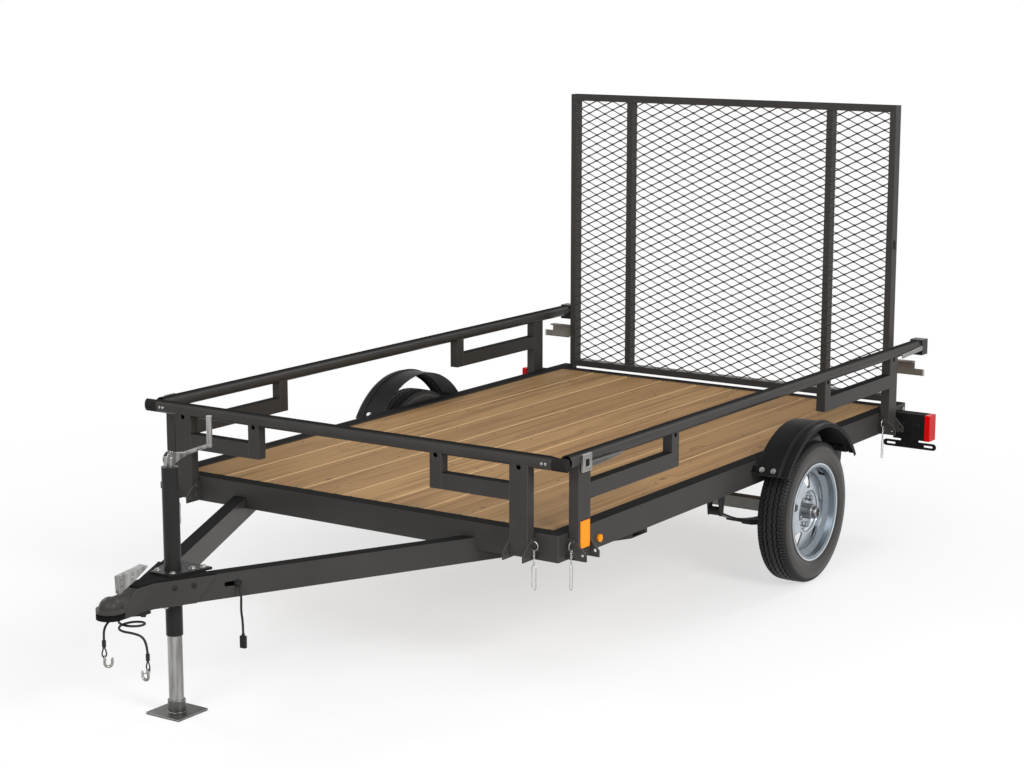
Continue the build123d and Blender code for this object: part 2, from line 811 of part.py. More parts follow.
def leaf_spring():
    """Left spring: a long leaf with an eye at each end over shorter leaves."""
    seat = tyre_radius - axle_tube / 2 - seat_gap
    x_low = spring_x - spring_width / 2
    rise = spring_eye_height - seat
    pack = None
    for number in range(leaf_count):
        half = spring_half_length * (1 - leaf_step_share * number)
        top = seat - number * leaf_thickness
        lift = rise * (half / spring_half_length) ** 2
        upper = ThreePointArc((x_low, wheel_y - half, top + lift), (x_low, wheel_y, top),
                              (x_low, wheel_y + half, top + lift))
        lower = ThreePointArc((x_low, wheel_y - half, top + lift - leaf_thickness),
                              (x_low, wheel_y, top - leaf_thickness),
                              (x_low, wheel_y + half, top + lift - leaf_thickness))
        ends = [Line(upper @ 0, lower @ 0), Line(upper @ 1, lower @ 1)]
        leaf = extrude(make_face([upper.edge(), lower.edge(), ends[0].edge(), ends[1].edge()]),
                       amount=spring_width, dir=(1, 0, 0))
        pack = leaf if pack is None else pack + leaf
    for way in (-1, 1):
        y = wheel_y + way * spring_half_length
        pack += rod((x_low, y, spring_eye_height), (x_low + spring_width, y, spring_eye_height),
                    spring_eye_radius)
        pack -= rod((x_low - overrun, y, spring_eye_height),
                    (x_low + spring_width + overrun, y, spring_eye_height),
                    hanger_bolt_radius + pin_clearance)
    return pack


def spring_hangers():
    """Left hangers: two cheeks under the side member at each spring eye, with a bolt."""
    pieces = []
    for way in (-1, 1):
        y = wheel_y + way * spring_half_length
        outline = [(y - hanger_half_length, frame_bottom), (y + hanger_half_length, frame_bottom),
                   (y + hanger_half_length / 2, spring_eye_height - spring_eye_radius),
                   (y - hanger_half_length / 2, spring_eye_height - spring_eye_radius)]
        inner = spring_x - spring_width / 2 - moving_gap
        outer = spring_x + spring_width / 2 + moving_gap
        hanger = across_x(outline, inner - hanger_wall, inner)
        hanger += across_x(outline, outer, outer + hanger_wall)
        hanger += rod((inner - hanger_wall, y, spring_eye_height),
                      (outer + hanger_wall, y, spring_eye_height), hanger_bolt_radius)
        pieces.append(hanger)
    return pieces


def axle_clamp():
    """Left clamp: a plate under the spring and two long bolts each side of the axle."""
    pack_bottom = tyre_radius - axle_tube / 2 - seat_gap - leaf_count * leaf_thickness
    x_low = spring_x - spring_width / 2
    x_high = spring_x + spring_width / 2
    plate = block(x_low - 2 * clamp_rod_radius, x_high + 2 * clamp_rod_radius, wheel_y - clamp_plate_half,
                  wheel_y + clamp_plate_half, pack_bottom - clamp_plate_thickness, pack_bottom)
    top = tyre_radius + axle_tube / 2
    for y_way in (-1, 1):
        y = wheel_y + y_way * (axle_tube / 2 + clamp_rod_radius + seat_gap)
        for x in (x_low - clamp_rod_radius - seat_gap, x_high + clamp_rod_radius + seat_gap):
            plate += rod((x, y, pack_bottom - clamp_plate_thickness - clamp_rod_end), (x, y, top),
                         clamp_rod_radius)
        plate += block(x_low - 2 * clamp_rod_radius, x_high + 2 * clamp_rod_radius,
                       y - clamp_rod_radius, y + clamp_rod_radius, top - clamp_rod_radius, top)
    return plate


def fender():
    """Left fender: a strip rolled round the wheel with a bead and a turned outer edge."""
    outer = fender_radius
    wall = fender_wall
    top = [(fender_inner_x, outer), (fender_bead_x - fender_bead_width, outer),
           (fender_bead_x - fender_bead_width / 2, outer + fender_bead_rise),
           (fender_bead_x, outer), (fender_step_x, outer),
           (fender_outer_x, outer - fender_step_drop),
           (fender_outer_x, outer - fender_edge_drop)]
    under = [(fender_outer_x - wall, outer - fender_edge_drop),
             (fender_outer_x - wall, outer - fender_step_drop - wall),
             (fender_step_x, outer - wall), (fender_bead_x, outer - wall),
             (fender_bead_x - fender_bead_width / 2, outer + fender_bead_rise - wall),
             (fender_bead_x - fender_bead_width, outer - wall), (fender_inner_x, outer - wall)]
    return spun_about_axle(top + under, 0, fender_front_angle - fender_rear_angle, fender_rear_angle)


def fender_arms():
    """Left fender's arms: flat bars from the side member under the fender's ends."""
    arms = []
    inside = fender_radius - fender_wall
    bow = fender_arm_width ** 2 / (8 * inside)
    for angle in fender_arm_angles:
        arm = block(frame_outer_x, fender_bead_x - fender_bead_width, -fender_arm_width / 2,
                    fender_arm_width / 2, inside - bow - fender_arm_wall, inside - bow)
        arms.append(Pos(0, wheel_y, tyre_radius) * Rot(angle - 90, 0, 0) * arm)
    return arms


def side_rail_posts():
    """Left rail's posts under its tube, the tall ones with a rounded foot and two pin holes."""
    x_low = side_rail_x - post_depth / 2
    x_high = side_rail_x + post_depth / 2
    rows = [
        # front face of the post, width, whether it reaches down to the pivot
        (side_front_post_y, post_width, True),
        (side_front_post_y + post_width + side_front_gap, short_post_width, False),
        (side_rear_post_y - side_rear_gap - short_post_width, short_post_width, False),
        (side_rear_post_y, post_width, True),
    ]
    tube = rod((side_rail_x, side_tube_front_y, rail_height), (side_rail_x, side_tube_rear_y, rail_height),
               rail_tube_radius + seat_gap)
    posts = []
    for y, width, tall in rows:
        foot = pivot_height if tall else brace_bottom
        post = block(x_low, x_high, y, y + width, foot, rail_height)
        if tall:
            post += rod((side_rail_x, y, foot), (side_rail_x, y + width, foot), post_depth / 2)
        post -= block(x_low + post_wall, x_high - post_wall, y + post_wall, y + width - post_wall,
                      foot - post_depth, rail_height + overrun)
        post -= tube
        if tall:
            for z in (pivot_height, pivot_height + lock_spacing):
                post -= rod((side_rail_x, y - overrun, z), (side_rail_x, y + width + overrun, z),
                            pivot_bolt_radius + pin_clearance)
        notch_y = y + width / 2
        notch_z = rail_height - rail_tube_radius
        post -= rod((side_rail_x, notch_y, notch_z), (x_high + overrun, notch_y, notch_z), notch_radius)
        posts.append(post)
    return posts


def front_rail_posts():
    """Front rail's posts, made as the side rail's are, on both sides."""
    y_low = front_rail_y - post_depth / 2
    y_high = front_rail_y + post_depth / 2
    rows = [
        # inner face of the post, width, whether it reaches down to the pivot
        (front_post_x, post_width, True),
        (front_post_x - front_gap - short_post_width, short_post_width, False),
    ]
    tube = rod((-front_tube_half, front_rail_y, rail_height), (front_tube_half, front_rail_y, rail_height),
               rail_tube_radius + seat_gap)
    posts = []
    for x, width, tall in rows:
        foot = pivot_height if tall else brace_bottom
        post = block(x, x + width, y_low, y_high, foot, rail_height)
        if tall:
            post += rod((x, front_rail_y, foot), (x + width, front_rail_y, foot), post_depth / 2)
        post -= block(x + post_wall, x + width - post_wall, y_low + post_wall, y_high - post_wall,
                      foot - post_depth, rail_height + overrun)
        post -= tube
        if tall:
            for z in (pivot_height, pivot_height + lock_spacing):
                post -= rod((x - overrun, front_rail_y, z), (x + width + overrun, front_rail_y, z),
                            pivot_bolt_radius + pin_clearance)
        notch_x = x + width / 2
        notch_z = rail_height - rail_tube_radius
        post -= rod((notch_x, y_low - overrun, notch_z), (notch_x, front_rail_y, notch_z), notch_radius)
        posts += [post, other_side(post)]
    return posts


def side_rail_braces():
    """Left rail's braces, from each tall post to its short post."""
    x_low = side_rail_x - post_depth / 2
    x_high = side_rail_x + post_depth / 2
    brace_top = brace_bottom + brace_height
    pieces = []
    for low, high in ((side_front_post_y + post_width, side_front_post_y + post_width + side_front_gap),
                      (side_rear_post_y - side_rear_gap, side_rear_post_y)):
        brace = block(x_low, x_high, low, high, brace_bottom, brace_top)
        brace -= block(x_low + post_wall, x_high - post_wall, low - overrun, high + overrun,
                       brace_bottom + post_wall, brace_top - post_wall)
        pieces.append(brace)
    return pieces


def front_rail_braces():
    """Front rail's braces, both sides."""
    y_low = front_rail_y - post_depth / 2
    y_high = front_rail_y + post_depth / 2
    brace_top = brace_bottom + brace_height
    brace = block(front_post_x - front_gap, front_post_x, y_low, y_high, brace_bottom, brace_top)
    brace -= block(front_post_x - front_gap - overrun, front_post_x + overrun, y_low + post_wall,
                   y_high - post_wall, brace_bottom + post_wall, brace_top - post_wall)
    return [brace, other_side(brace)]


def side_rail_tube():
    """Left rail's top tube."""
    return pipe((side_rail_x, side_tube_front_y, rail_height), (side_rail_x, side_tube_rear_y, rail_height),
                rail_tube_radius, rail_tube_wall)


def front_rail_tube():
    """Front rail's top tube."""
    return pipe((-front_tube_half, front_rail_y, rail_height), (front_tube_half, front_rail_y, rail_height),
                rail_tube_radius, rail_tube_wall)


def latch_handle(y_low):
    """Lever along the outside of the left tube."""
    face = side_rail_x + rail_tube_radius + seat_gap
    middle = rail_height - handle_drop
    return block(face, face + handle_wall, y_low, y_low + handle_length,
                 middle - handle_height / 2, middle + handle_height / 2)


def front_latch():
    """Left rail's front latch: a windowed block on the tube with its lever."""
    face = side_rail_x + rail_tube_radius + seat_gap
    middle_here = latch_front_block_y + latch_block_length / 2
    middle_z = rail_height - latch_block_drop
    piece = block(face, face + latch_block_depth, latch_front_block_y,
                  latch_front_block_y + latch_block_length,
                  middle_z - latch_block_height / 2, middle_z + latch_block_height / 2)
    piece -= block(face - overrun, face + latch_block_depth + overrun, middle_here - latch_window / 2,
                   middle_here + latch_window / 2, middle_z - latch_window / 2, middle_z + latch_window / 2)
    return piece + latch_handle(latch_front_block_y + latch_block_length)


def rear_latch():
    """Left rail's rear latch: a rounded block on the tube's end, a blunt tip and a lever."""
    start = side_tube_rear_y
    middle_z = rail_height - latch_block_drop
    piece = block(side_rail_x - end_block_half, side_rail_x + end_block_half, start, start + end_block_length,
                  middle_z - latch_block_height / 2, middle_z + latch_block_height / 2)
    piece = fillet(piece.edges().filter_by(Axis.Y), end_block_corner)
    piece += block(side_rail_x - end_tip_half, side_rail_x + end_tip_half, start + end_block_length,
                   start + end_block_length + end_tip_length,
                   middle_z - end_tip_half, middle_z + end_tip_half)
    return piece + latch_handle(start - handle_length)


def ear_outline(face, way):
    """Outline of an ear that stands out from a frame face, in distance out and height."""
    reach = [(0, ear_bottom), (ear_reach, ear_bottom), (ear_reach, ear_bottom + ear_nose),
             (ear_shoulder, ear_bottom + ear_rise), (0, ear_bottom + ear_rise)]
    return [(face + way * out, z) for out, z in reach]


def side_pivots():
    """Left side's ears, pivot bolts and pull pin heads, one pair for each tall post."""
    pieces = []
    outer_x = side_rail_x + lock_spacing
    lock_height = pivot_height + lock_spacing
    for y in (side_front_post_y, side_rear_post_y):
        first = y - moving_gap - ear_wall
        last = y + post_width + moving_gap
        pair = across_y(ear_outline(frame_outer_x, 1), first, first + ear_wall)
        pair += across_y(ear_outline(frame_outer_x, 1), last, last + ear_wall)
        pair -= rod((outer_x, first - overrun, pivot_height),
                    (outer_x, last + ear_wall + overrun, pivot_height),
                    lock_radius + pin_clearance)
        pair += rod((side_rail_x, first, pivot_height), (side_rail_x, last + ear_wall, pivot_height),
                    pivot_bolt_radius)
        for start in (first - pivot_head_length, last + ear_wall):
            pair += rod((side_rail_x, start, pivot_height),
                        (side_rail_x, start + pivot_head_length, pivot_height),
                        pivot_head_radius)
        for start in (first - lock_head_length, last + ear_wall):
            pair += rod((side_rail_x, start, lock_height),
                        (side_rail_x, start + lock_head_length, lock_height),
                        lock_head_radius)
        pieces.append(pair)
    return pieces


def front_pivots():
    """Front ears, pivot bolts and pull pin heads, both sides."""
    outer_y = front_rail_y - lock_spacing
    lock_height = pivot_height + lock_spacing
    first = front_post_x - moving_gap - ear_wall
    last = front_post_x + post_width + moving_gap
    pair = across_x(ear_outline(frame_front_y, -1), first, first + ear_wall)
    pair += across_x(ear_outline(frame_front_y, -1), last, last + ear_wall)
    pair -= rod((first - overrun, outer_y, pivot_height), (last + ear_wall + overrun, outer_y, pivot_height),
                lock_radius + pin_clearance)
    pair += rod((first, front_rail_y, pivot_height), (last + ear_wall, front_rail_y, pivot_height),
                pivot_bolt_radius)
    for start in (first - pivot_head_length, last + ear_wall):
        pair += rod((start, front_rail_y, pivot_height),
                    (start + pivot_head_length, front_rail_y, pivot_height),
                    pivot_head_radius)
    for start in (first - lock_head_length, last + ear_wall):
        pair += rod((start, front_rail_y, lock_height), (start + lock_head_length, front_rail_y, lock_height),
                    lock_head_radius)
    return [pair, other_side(pair)]


def box_bar(x_low, x_high, y_low, y_high, z_low, z_high):
    """Closed box section with the gate's wall."""
    wall = gate_bar_wall
    return block(x_low, x_high, y_low, y_high, z_low, z_high) - block(
        x_low + wall, x_high - wall, y_low + wall, y_high - wall, z_low + wall, z_high - wall)


def gate_frame():
    """Gate frame: a top bar over two stiles, a bottom bar and two uprights behind the mesh."""
    half = gate_half_width
    top_low = gate_top - gate_bar
    bottom_high = gate_bottom + gate_bar
    upright_front = gate_front_y + mesh_setback + 2 * mesh_layer
    frame = box_bar(-half, half, gate_front_y, gate_rear_y, top_low, gate_top)
    frame += box_bar(-half + gate_bar, half - gate_bar, gate_front_y, gate_rear_y, gate_bottom, bottom_high)
    for way in (-1, 1):
        stile_x = way * (half - gate_bar / 2)
        frame += box_bar(stile_x - gate_bar / 2, stile_x + gate_bar / 2, gate_front_y, gate_rear_y,
                         gate_bottom, top_low)
        upright_x = way * gate_upright_x
        frame += box_bar(upright_x - gate_bar / 2, upright_x + gate_bar / 2, upright_front, gate_rear_y,
                         bottom_high, top_low)
    return frame


def gate_mesh(way, y_low):
    """One layer of slanting strands: way is 1 for rising to the left, -1 for falling."""
    x_half = gate_half_width - gate_bar
    z_low = gate_bottom + gate_bar
    z_high = gate_top - gate_bar
    run = (z_high - z_low) * mesh_pitch_x / mesh_pitch_z
    lean = math.atan2(mesh_pitch_z, mesh_pitch_x)
    half = mesh_strand / 2 / math.sin(lean)
    window = block(-x_half, x_half, y_low, y_low + mesh_layer, z_low, z_high)
    count = math.ceil((2 * x_half + run) / mesh_pitch_x)
    strands = []
    for number in range(count):
        x = -x_half - run + (number + 0.5) * mesh_pitch_x
        points = [(way * (x - half), z_low), (way * (x + half), z_low),
                  (way * (x + half + run), z_high), (way * (x - half + run), z_high)]
        strand = across_y(points, y_low, y_low + mesh_layer) & window
        strands += strand.solids()
    return strands


def gate_lug():
    """Left hinge lug: a plate from the foot of the stile down round the hinge bolt."""
    outer = gate_half_width
    inner = outer - hinge_lug_width
    lug = block(inner, outer, hinge_y - hinge_radius, hinge_y + hinge_radius, hinge_height, gate_bottom)
    lug += rod((inner, hinge_y, hinge_height), (outer, hinge_y, hinge_height), hinge_radius)
    return lug - rod((inner - overrun, hinge_y, hinge_height), (outer + overrun, hinge_y, hinge_height),
                     hinge_bolt_radius + pin_clearance)


def gate_bolt():
    """Left hinge bolt through the side member, with its head, a spacer and a nut."""
    inner = gate_half_width - hinge_lug_width - moving_gap
    rows = [
        # inner end, outer end, radius
        (inner - hinge_head_length, frame_outer_x + hinge_head_length, hinge_bolt_radius),
        (inner - hinge_head_length, inner, hinge_head_radius),
        (gate_half_width + moving_gap, frame_inner_x, hinge_head_radius),
        (frame_outer_x, frame_outer_x + hinge_head_length, hinge_head_radius),
    ]
    bolt = None
    for low, high, radius in rows:
        piece = rod((low, hinge_y, hinge_height), (high, hinge_y, hinge_height), radius)
        bolt = piece if bolt is None else bolt + piece
    return bolt


def gate_latch_plate():
    """Left latch plate, which reaches out from the stile under the rail, with a folded lip."""
    points = [(gate_half_width, plate_bottom + plate_lip), (gate_half_width + plate_lip, plate_bottom),
              (plate_tip_x, plate_bottom), (plate_tip_x, plate_step), (plate_inner_top_x, plate_step),
              (plate_inner_top_x, plate_top), (gate_half_width, plate_top)]
    front = hinge_y - plate_wall / 2
    plate = across_y(points, front, front + plate_wall)
    return plate + block(gate_half_width, plate_inner_top_x, front - plate_lip, front,
                         plate_top - plate_wall, plate_top)


def lamp_box():
    """Left tail lamp box: a folded hood on the side member, open below and behind."""
    rear = lamp_front_y + lamp_depth
    box = block(frame_outer_x, lamp_outer_x, lamp_front_y, rear, lamp_bottom, lamp_top)
    return box - block(frame_outer_x + lamp_wall, lamp_outer_x - lamp_wall, lamp_front_y + lamp_wall,
                       rear + overrun, lamp_bottom - overrun, lamp_top - lamp_wall)


def lamp_lens():
    """Left tail lamp lens, which wraps the lamp box's outer end."""
    return block(lamp_outer_x, lens_outer_x, lamp_front_y - lens_proud, lamp_front_y + lamp_depth,
                 lamp_bottom, lamp_top)


def plate_holder():
    """Slotted holder for a licence plate, on the front of the left lamp box."""
    middle = deck_height - holder_drop
    y_low = lamp_front_y - holder_wall
    bar = block(holder_x - holder_half, holder_x + holder_half, y_low, lamp_front_y,
                middle - holder_height / 2, middle + holder_height / 2)
    bar = fillet(bar.edges().filter_by(Axis.Y), holder_height / 2 - seat_gap)
    holder = bar + block(holder_x - holder_neck_half, holder_x + holder_neck_half, y_low, lamp_front_y,
                         middle, lamp_bottom + holder_lap)
    for way in (-1, 1):
        plane = Plane(origin=(holder_x + way * holder_slot_x, y_low - overrun, middle),
                      x_dir=(1, 0, 0), z_dir=(0, 1, 0))
        holder -= extrude(plane * SlotOverall(holder_slot_length, holder_slot_height),
                          amount=holder_wall + 2 * overrun)
    return holder


def rail_reflector():
    """Left amber reflector on the front tall post."""
    outer = side_rail_x + post_depth / 2
    y_low = side_front_post_y + (post_width - marker_width) / 2
    return block(outer, outer + marker_depth, y_low, y_low + marker_width, marker_bottom,
                 marker_bottom + marker_height)


def marker_lamp():
    """Left round marker lamp on the side member."""
    return rod((frame_outer_x, button_y, button_height),
               (frame_outer_x + button_depth, button_y, button_height),
               button_radius)


def cord(name, points, radius):
    """Round cord along straight runs joined by arcs as large as the runs allow."""
    corners = []
    for before, here, after in zip(points, points[1:], points[2:]):
        first = Vector(*here) - Vector(*before)
        second = Vector(*after) - Vector(*here)
        half_turn = math.radians(first.get_angle(second)) / 2
        corners.append(cord_arc_share * min(first.length, second.length) / math.tan(half_turn))
    path = FilletPolyline(*points, radius=corners)
    tube = sweep(Plane(origin=points[0], z_dir=path % 0) * Circle(radius), path=path)
    print(name, "radii", [round(corner) for corner in corners])
    print(name, "length", round(path.length), "volume", round(tube.volume), "section by length",
          round(math.pi * radius ** 2 * path.length))
    return tube


def loop_points():
    """Turns of the left safety cable where it hangs in loops below the coupler."""
    points = []
    for number in range(loop_point_count):
        angle = math.radians(loop_first_angle + number * loop_step)
        points.append((loop_x + loop_radius * math.cos(angle),
                       loop_radius * math.sin(angle) - loop_ahead,
                       -loop_drop - loop_pitch * number * loop_step / full_turn))
    return points


def from_tongue_point(points):
    """Points laid out from the bottom of the beams' meeting point, put in the trailer's place."""
    return [(x, tongue_point_y + y, beam_bottom + z) for x, y, z in points]


def cable_anchor():
    """Plate under the coupler with a ferrule for each safety cable."""
    top = beam_bottom
    anchor = block(-anchor_half, anchor_half, anchor_y - anchor_length / 2, anchor_y + anchor_length / 2,
                   top - anchor_thickness, top)
    for route in (left_cable_route, right_cable_route):
        start = Vector(*route[0])
        back = (start - Vector(*route[1])).normalized() * ferrule_length
        anchor += rod(start, start + back, ferrule_radius)
    return anchor


def cable_hook(end, turn):
    """Ferrule and open hook below a cable's end, with the hook's tip turned about the shank."""
    shank_low = -ferrule_length - hook_shank
    hook = rod((0, 0, -ferrule_length), (0, 0, 0), ferrule_radius)
    hook += rod((0, 0, shank_low), (0, 0, -ferrule_length), hook_wire)
    bend = Pos(hook_bend, 0, shank_low) * Rot(90, 0, 0) * Torus(hook_bend, hook_wire)
    reach = 2 * hook_bend + 2 * hook_wire
    bend -= block(-reach, 2 * reach, -reach, reach, shank_low, shank_low + reach)
    hook += bend
    hook += rod((2 * hook_bend, 0, shank_low), (2 * hook_bend, 0, shank_low + hook_short_length), hook_wire)
    return Pos(*end) * Rot(0, 0, turn) * hook


def lead_grommet():
    """Grommet on the left beam's slot that points the wiring lead down and out."""
    neck = lead_route[0]
    back = (Vector(*lead_route[0]) - Vector(*lead_route[1])).normalized() * grommet_length
    face = (beam_outer_x(grommet_y), grommet_y, beam_top - lead_slot_drop)
    outward = Vector(tongue_cosine, -tongue_sine, 0)
    plate = rod(face, Vector(*face) + outward * grommet_plate_thickness, grommet_plate_radius)
    return plate + rod(neck, Vector(*neck) + back, grommet_radius)


def wiring_plug():
    """Flat plug on the lead's end with a round neck."""
    x, y, z = lead_route[-1]
    body_top = z - plug_neck
    body = block(x - plug_width / 2, x + plug_width / 2, y - plug_depth / 2, y + plug_depth / 2,
                 body_top - plug_length, body_top)
    body = fillet(body.edges().filter_by(Axis.Z), plug_depth / 4)
    return body + rod((x, y, body_top), (x, y, z), plug_depth / 2 - seat_gap)


# Routes of the cords, from their exits to their ends, laid out from the beams' meeting point.
left_cable_route = from_tongue_point(loop_points() + [
    (70, -42, -62),
    (77, -31, -101),
    (77, -31, -141),
])
right_cable_route = from_tongue_point([
    (-22, 22, -14),
    (-41, -3, -16),
    (-54, -37, -19),
    (-55, -72, -25),
    (-48, -99, -42),
    (-41, -108, -70),
    (-41, -108, -96),
])
lead_route = from_tongue_point([
    (169.3, 313.9, 39.5),
    (184.5, 306.3, 22.5),
    (187, 305, -4),
    (183, 307, -42),
    (181, 317, -83),
    (181, 317, -123.5),
])

# Frame and deck.
save("front_member", frame_with_tongue_notch(front_member()))
save("rear_member", rear_member())
left_member = side_member()
save("left_member", left_member)
save("right_member", other_side(left_member))
save("crossmembers", *crossmembers())
save("deck_planks", *deck_planks())

# Tongue, coupler and jack.
left_beam = tongue_beam()
save("left_tongue_beam", left_beam)
save("right_tongue_beam", other_side(left_beam))
save("coupler", coupler())
save("coupler_latch", coupler_latch())
save("jack_outer_tube", jack_outer_tube())
save("jack_mount_plate", jack_plate())
save("jack_crank", jack_crank())
save("jack_leg", jack_leg())
save("jack_foot", jack_foot())

# Running gear.
save("axle", axle())
left_spring = leaf_spring()
save("leaf_springs", left_spring, other_side(left_spring))
left_hangers = spring_hangers()
save("spring_hangers", *left_hangers, *[other_side(piece) for piece in left_hangers])
left_clamp = axle_clamp()
save("axle_clamps", left_clamp, other_side(left_clamp))
left_fender = fender()
save("left_fender", left_fender)
save("right_fender", other_side(left_fender))
left_arms = fender_arms()
save("fender_arms", *left_arms, *[other_side(piece) for piece in left_arms])
for name, piece in (("tyre", tyre()), ("rim", rim()), ("hub", hub())):
    save("left_" + name, piece)
    save("right_" + name, other_side(piece))

# Rails and their pivots.
left_pivots = side_pivots()
save("rail_pivots", *left_pivots, *[other_side(piece) for piece in left_pivots], *front_pivots())
for name, pieces in (("rail_tube", [side_rail_tube()]), ("rail_posts", side_rail_posts()),
                     ("rail_braces", side_rail_braces()), ("rail_latches", [front_latch(), rear_latch()])):
    save("left_" + name, *pieces)
    save("right_" + name, *[other_side(piece) for piece in pieces])
save("front_rail_tube", front_rail_tube())
save("front_rail_posts", *front_rail_posts())
save("front_rail_braces", *front_rail_braces())

# Ramp gate.
save("gate_frame", gate_frame())
save("gate_mesh_rising", *gate_mesh(1, gate_front_y + mesh_setback))
save("gate_mesh_falling", *gate_mesh(-1, gate_front_y + mesh_setback + mesh_layer))
for name, piece in (("gate_hinge_lugs", gate_lug()), ("gate_hinge_bolts", gate_bolt()),
                    ("gate_latch_plates", gate_latch_plate())):
    save(name, piece, other_side(piece))

# Lights.
for name, piece in (("tail_lamp_boxes", lamp_box()), ("tail_lamp_lenses", lamp_lens()),
                    ("side_marker_lamps", marker_lamp())):
    save(name, piece, other_side(piece))
save("licence_plate_holder", plate_holder())
left_marker = rail_reflector()
save("left_rail_reflector", left_marker)
save("right_rail_reflector", other_side(left_marker))

# Cords and what is on them.
save("cable_anchor", cable_anchor())
save("left_safety_cable", cord("left_safety_cable", left_cable_route, cable_radius))
save("right_safety_cable", cord("right_safety_cable", right_cable_route, cable_radius))
save("cable_hooks", cable_hook(left_cable_route[-1], left_hook_turn),
     cable_hook(right_cable_route[-1], right_hook_turn))
save("lead_grommet", lead_grommet())
save("wiring_lead", cord("wiring_lead", lead_route, lead_radius))
save("wiring_plug", wiring_plug())
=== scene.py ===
import math
import bmesh
import bpy
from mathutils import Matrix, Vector


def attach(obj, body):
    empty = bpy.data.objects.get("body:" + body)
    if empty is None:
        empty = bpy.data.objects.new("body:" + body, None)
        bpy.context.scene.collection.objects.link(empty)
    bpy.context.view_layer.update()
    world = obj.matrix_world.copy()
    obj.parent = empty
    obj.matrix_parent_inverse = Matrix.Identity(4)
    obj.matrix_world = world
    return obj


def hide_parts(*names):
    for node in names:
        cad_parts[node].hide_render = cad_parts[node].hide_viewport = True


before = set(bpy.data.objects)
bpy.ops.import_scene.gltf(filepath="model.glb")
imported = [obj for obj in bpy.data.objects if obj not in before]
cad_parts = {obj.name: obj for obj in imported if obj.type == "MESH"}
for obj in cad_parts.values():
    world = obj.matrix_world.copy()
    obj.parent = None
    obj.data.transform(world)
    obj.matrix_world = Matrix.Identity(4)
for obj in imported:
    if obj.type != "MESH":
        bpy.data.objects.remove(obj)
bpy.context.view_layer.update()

# The photograph was taken from the left front, a little above the rails.
# The lens and the place were found from the straight edges of the trailer in it.


def placed(name, data):
    """A new object in the scene."""
    made = bpy.data.objects.new(name, data)
    bpy.context.scene.collection.objects.link(made)
    return made


camera_azimuth = math.radians(34.1)
camera_elevation = math.radians(10.62)
camera_data = bpy.data.cameras.new("photo_camera")
camera_data.lens = 76.8
camera_data.sensor_width = 36.0
camera = placed("photo_camera", camera_data)
camera.location = (4.861, -6.9725, 2.435)
towards_camera = Vector((math.sin(camera_azimuth) * math.cos(camera_elevation),
                         -math.cos(camera_azimuth) * math.cos(camera_elevation),
                         math.sin(camera_elevation)))
camera.rotation_euler = towards_camera.to_track_quat("Z", "Y").to_euler()
bpy.context.scene.camera = camera
bpy.context.scene.view_settings.view_transform = "Standard"


class Amount:
    """A number that varies over a surface: sums and products of it add maths nodes."""

    def __init__(self, nodes, socket):
        self.nodes = nodes
        self.socket = socket

    def joined(self, operation, first, second):
        node = self.nodes.node("ShaderNodeMath", {"operation": operation}, {0: first, 1: second})
        return Amount(self.nodes, node.outputs[0])

    def __add__(self, other):
        return self.joined("ADD", self, other)

    def __radd__(self, other):
        return self.joined("ADD", other, self)

    def __sub__(self, other):
        return self.joined("SUBTRACT", self, other)

    def __rsub__(self, other):
        return self.joined("SUBTRACT", other, self)

    def __mul__(self, other):
        return self.joined("MULTIPLY", self, other)

    def __rmul__(self, other):
        return self.joined("MULTIPLY", other, self)

    def __truediv__(self, other):
        return self.joined("DIVIDE", self, other)

    def called(self, operation, other=0.0):
        return self.joined(operation, self, other)


class Nodes:
    """A tree of nodes, where each node comes with its settings and what feeds its sockets."""

    def __init__(self, tree):
        self.tree = tree

    def feed(self, socket, value):
        """Link a socket or set its value, with an alpha of one for a colour."""
        if isinstance(value, Amount):
            value = value.socket
        if isinstance(value, bpy.types.NodeSocket):
            self.tree.links.new(value, socket)
        else:
            socket.default_value = (*value, 1.0) if socket.type == "RGBA" else value

    def node(self, kind, settings=None, inputs=None):
        """Add a node, with its settings first and then the values or links of its sockets."""
        node = self.tree.nodes.new(kind)
        for name, value in (settings or {}).items():
            setattr(node, name, value)
        for name, value in (inputs or {}).items():
            self.feed(node.inputs[name], value)
        return node


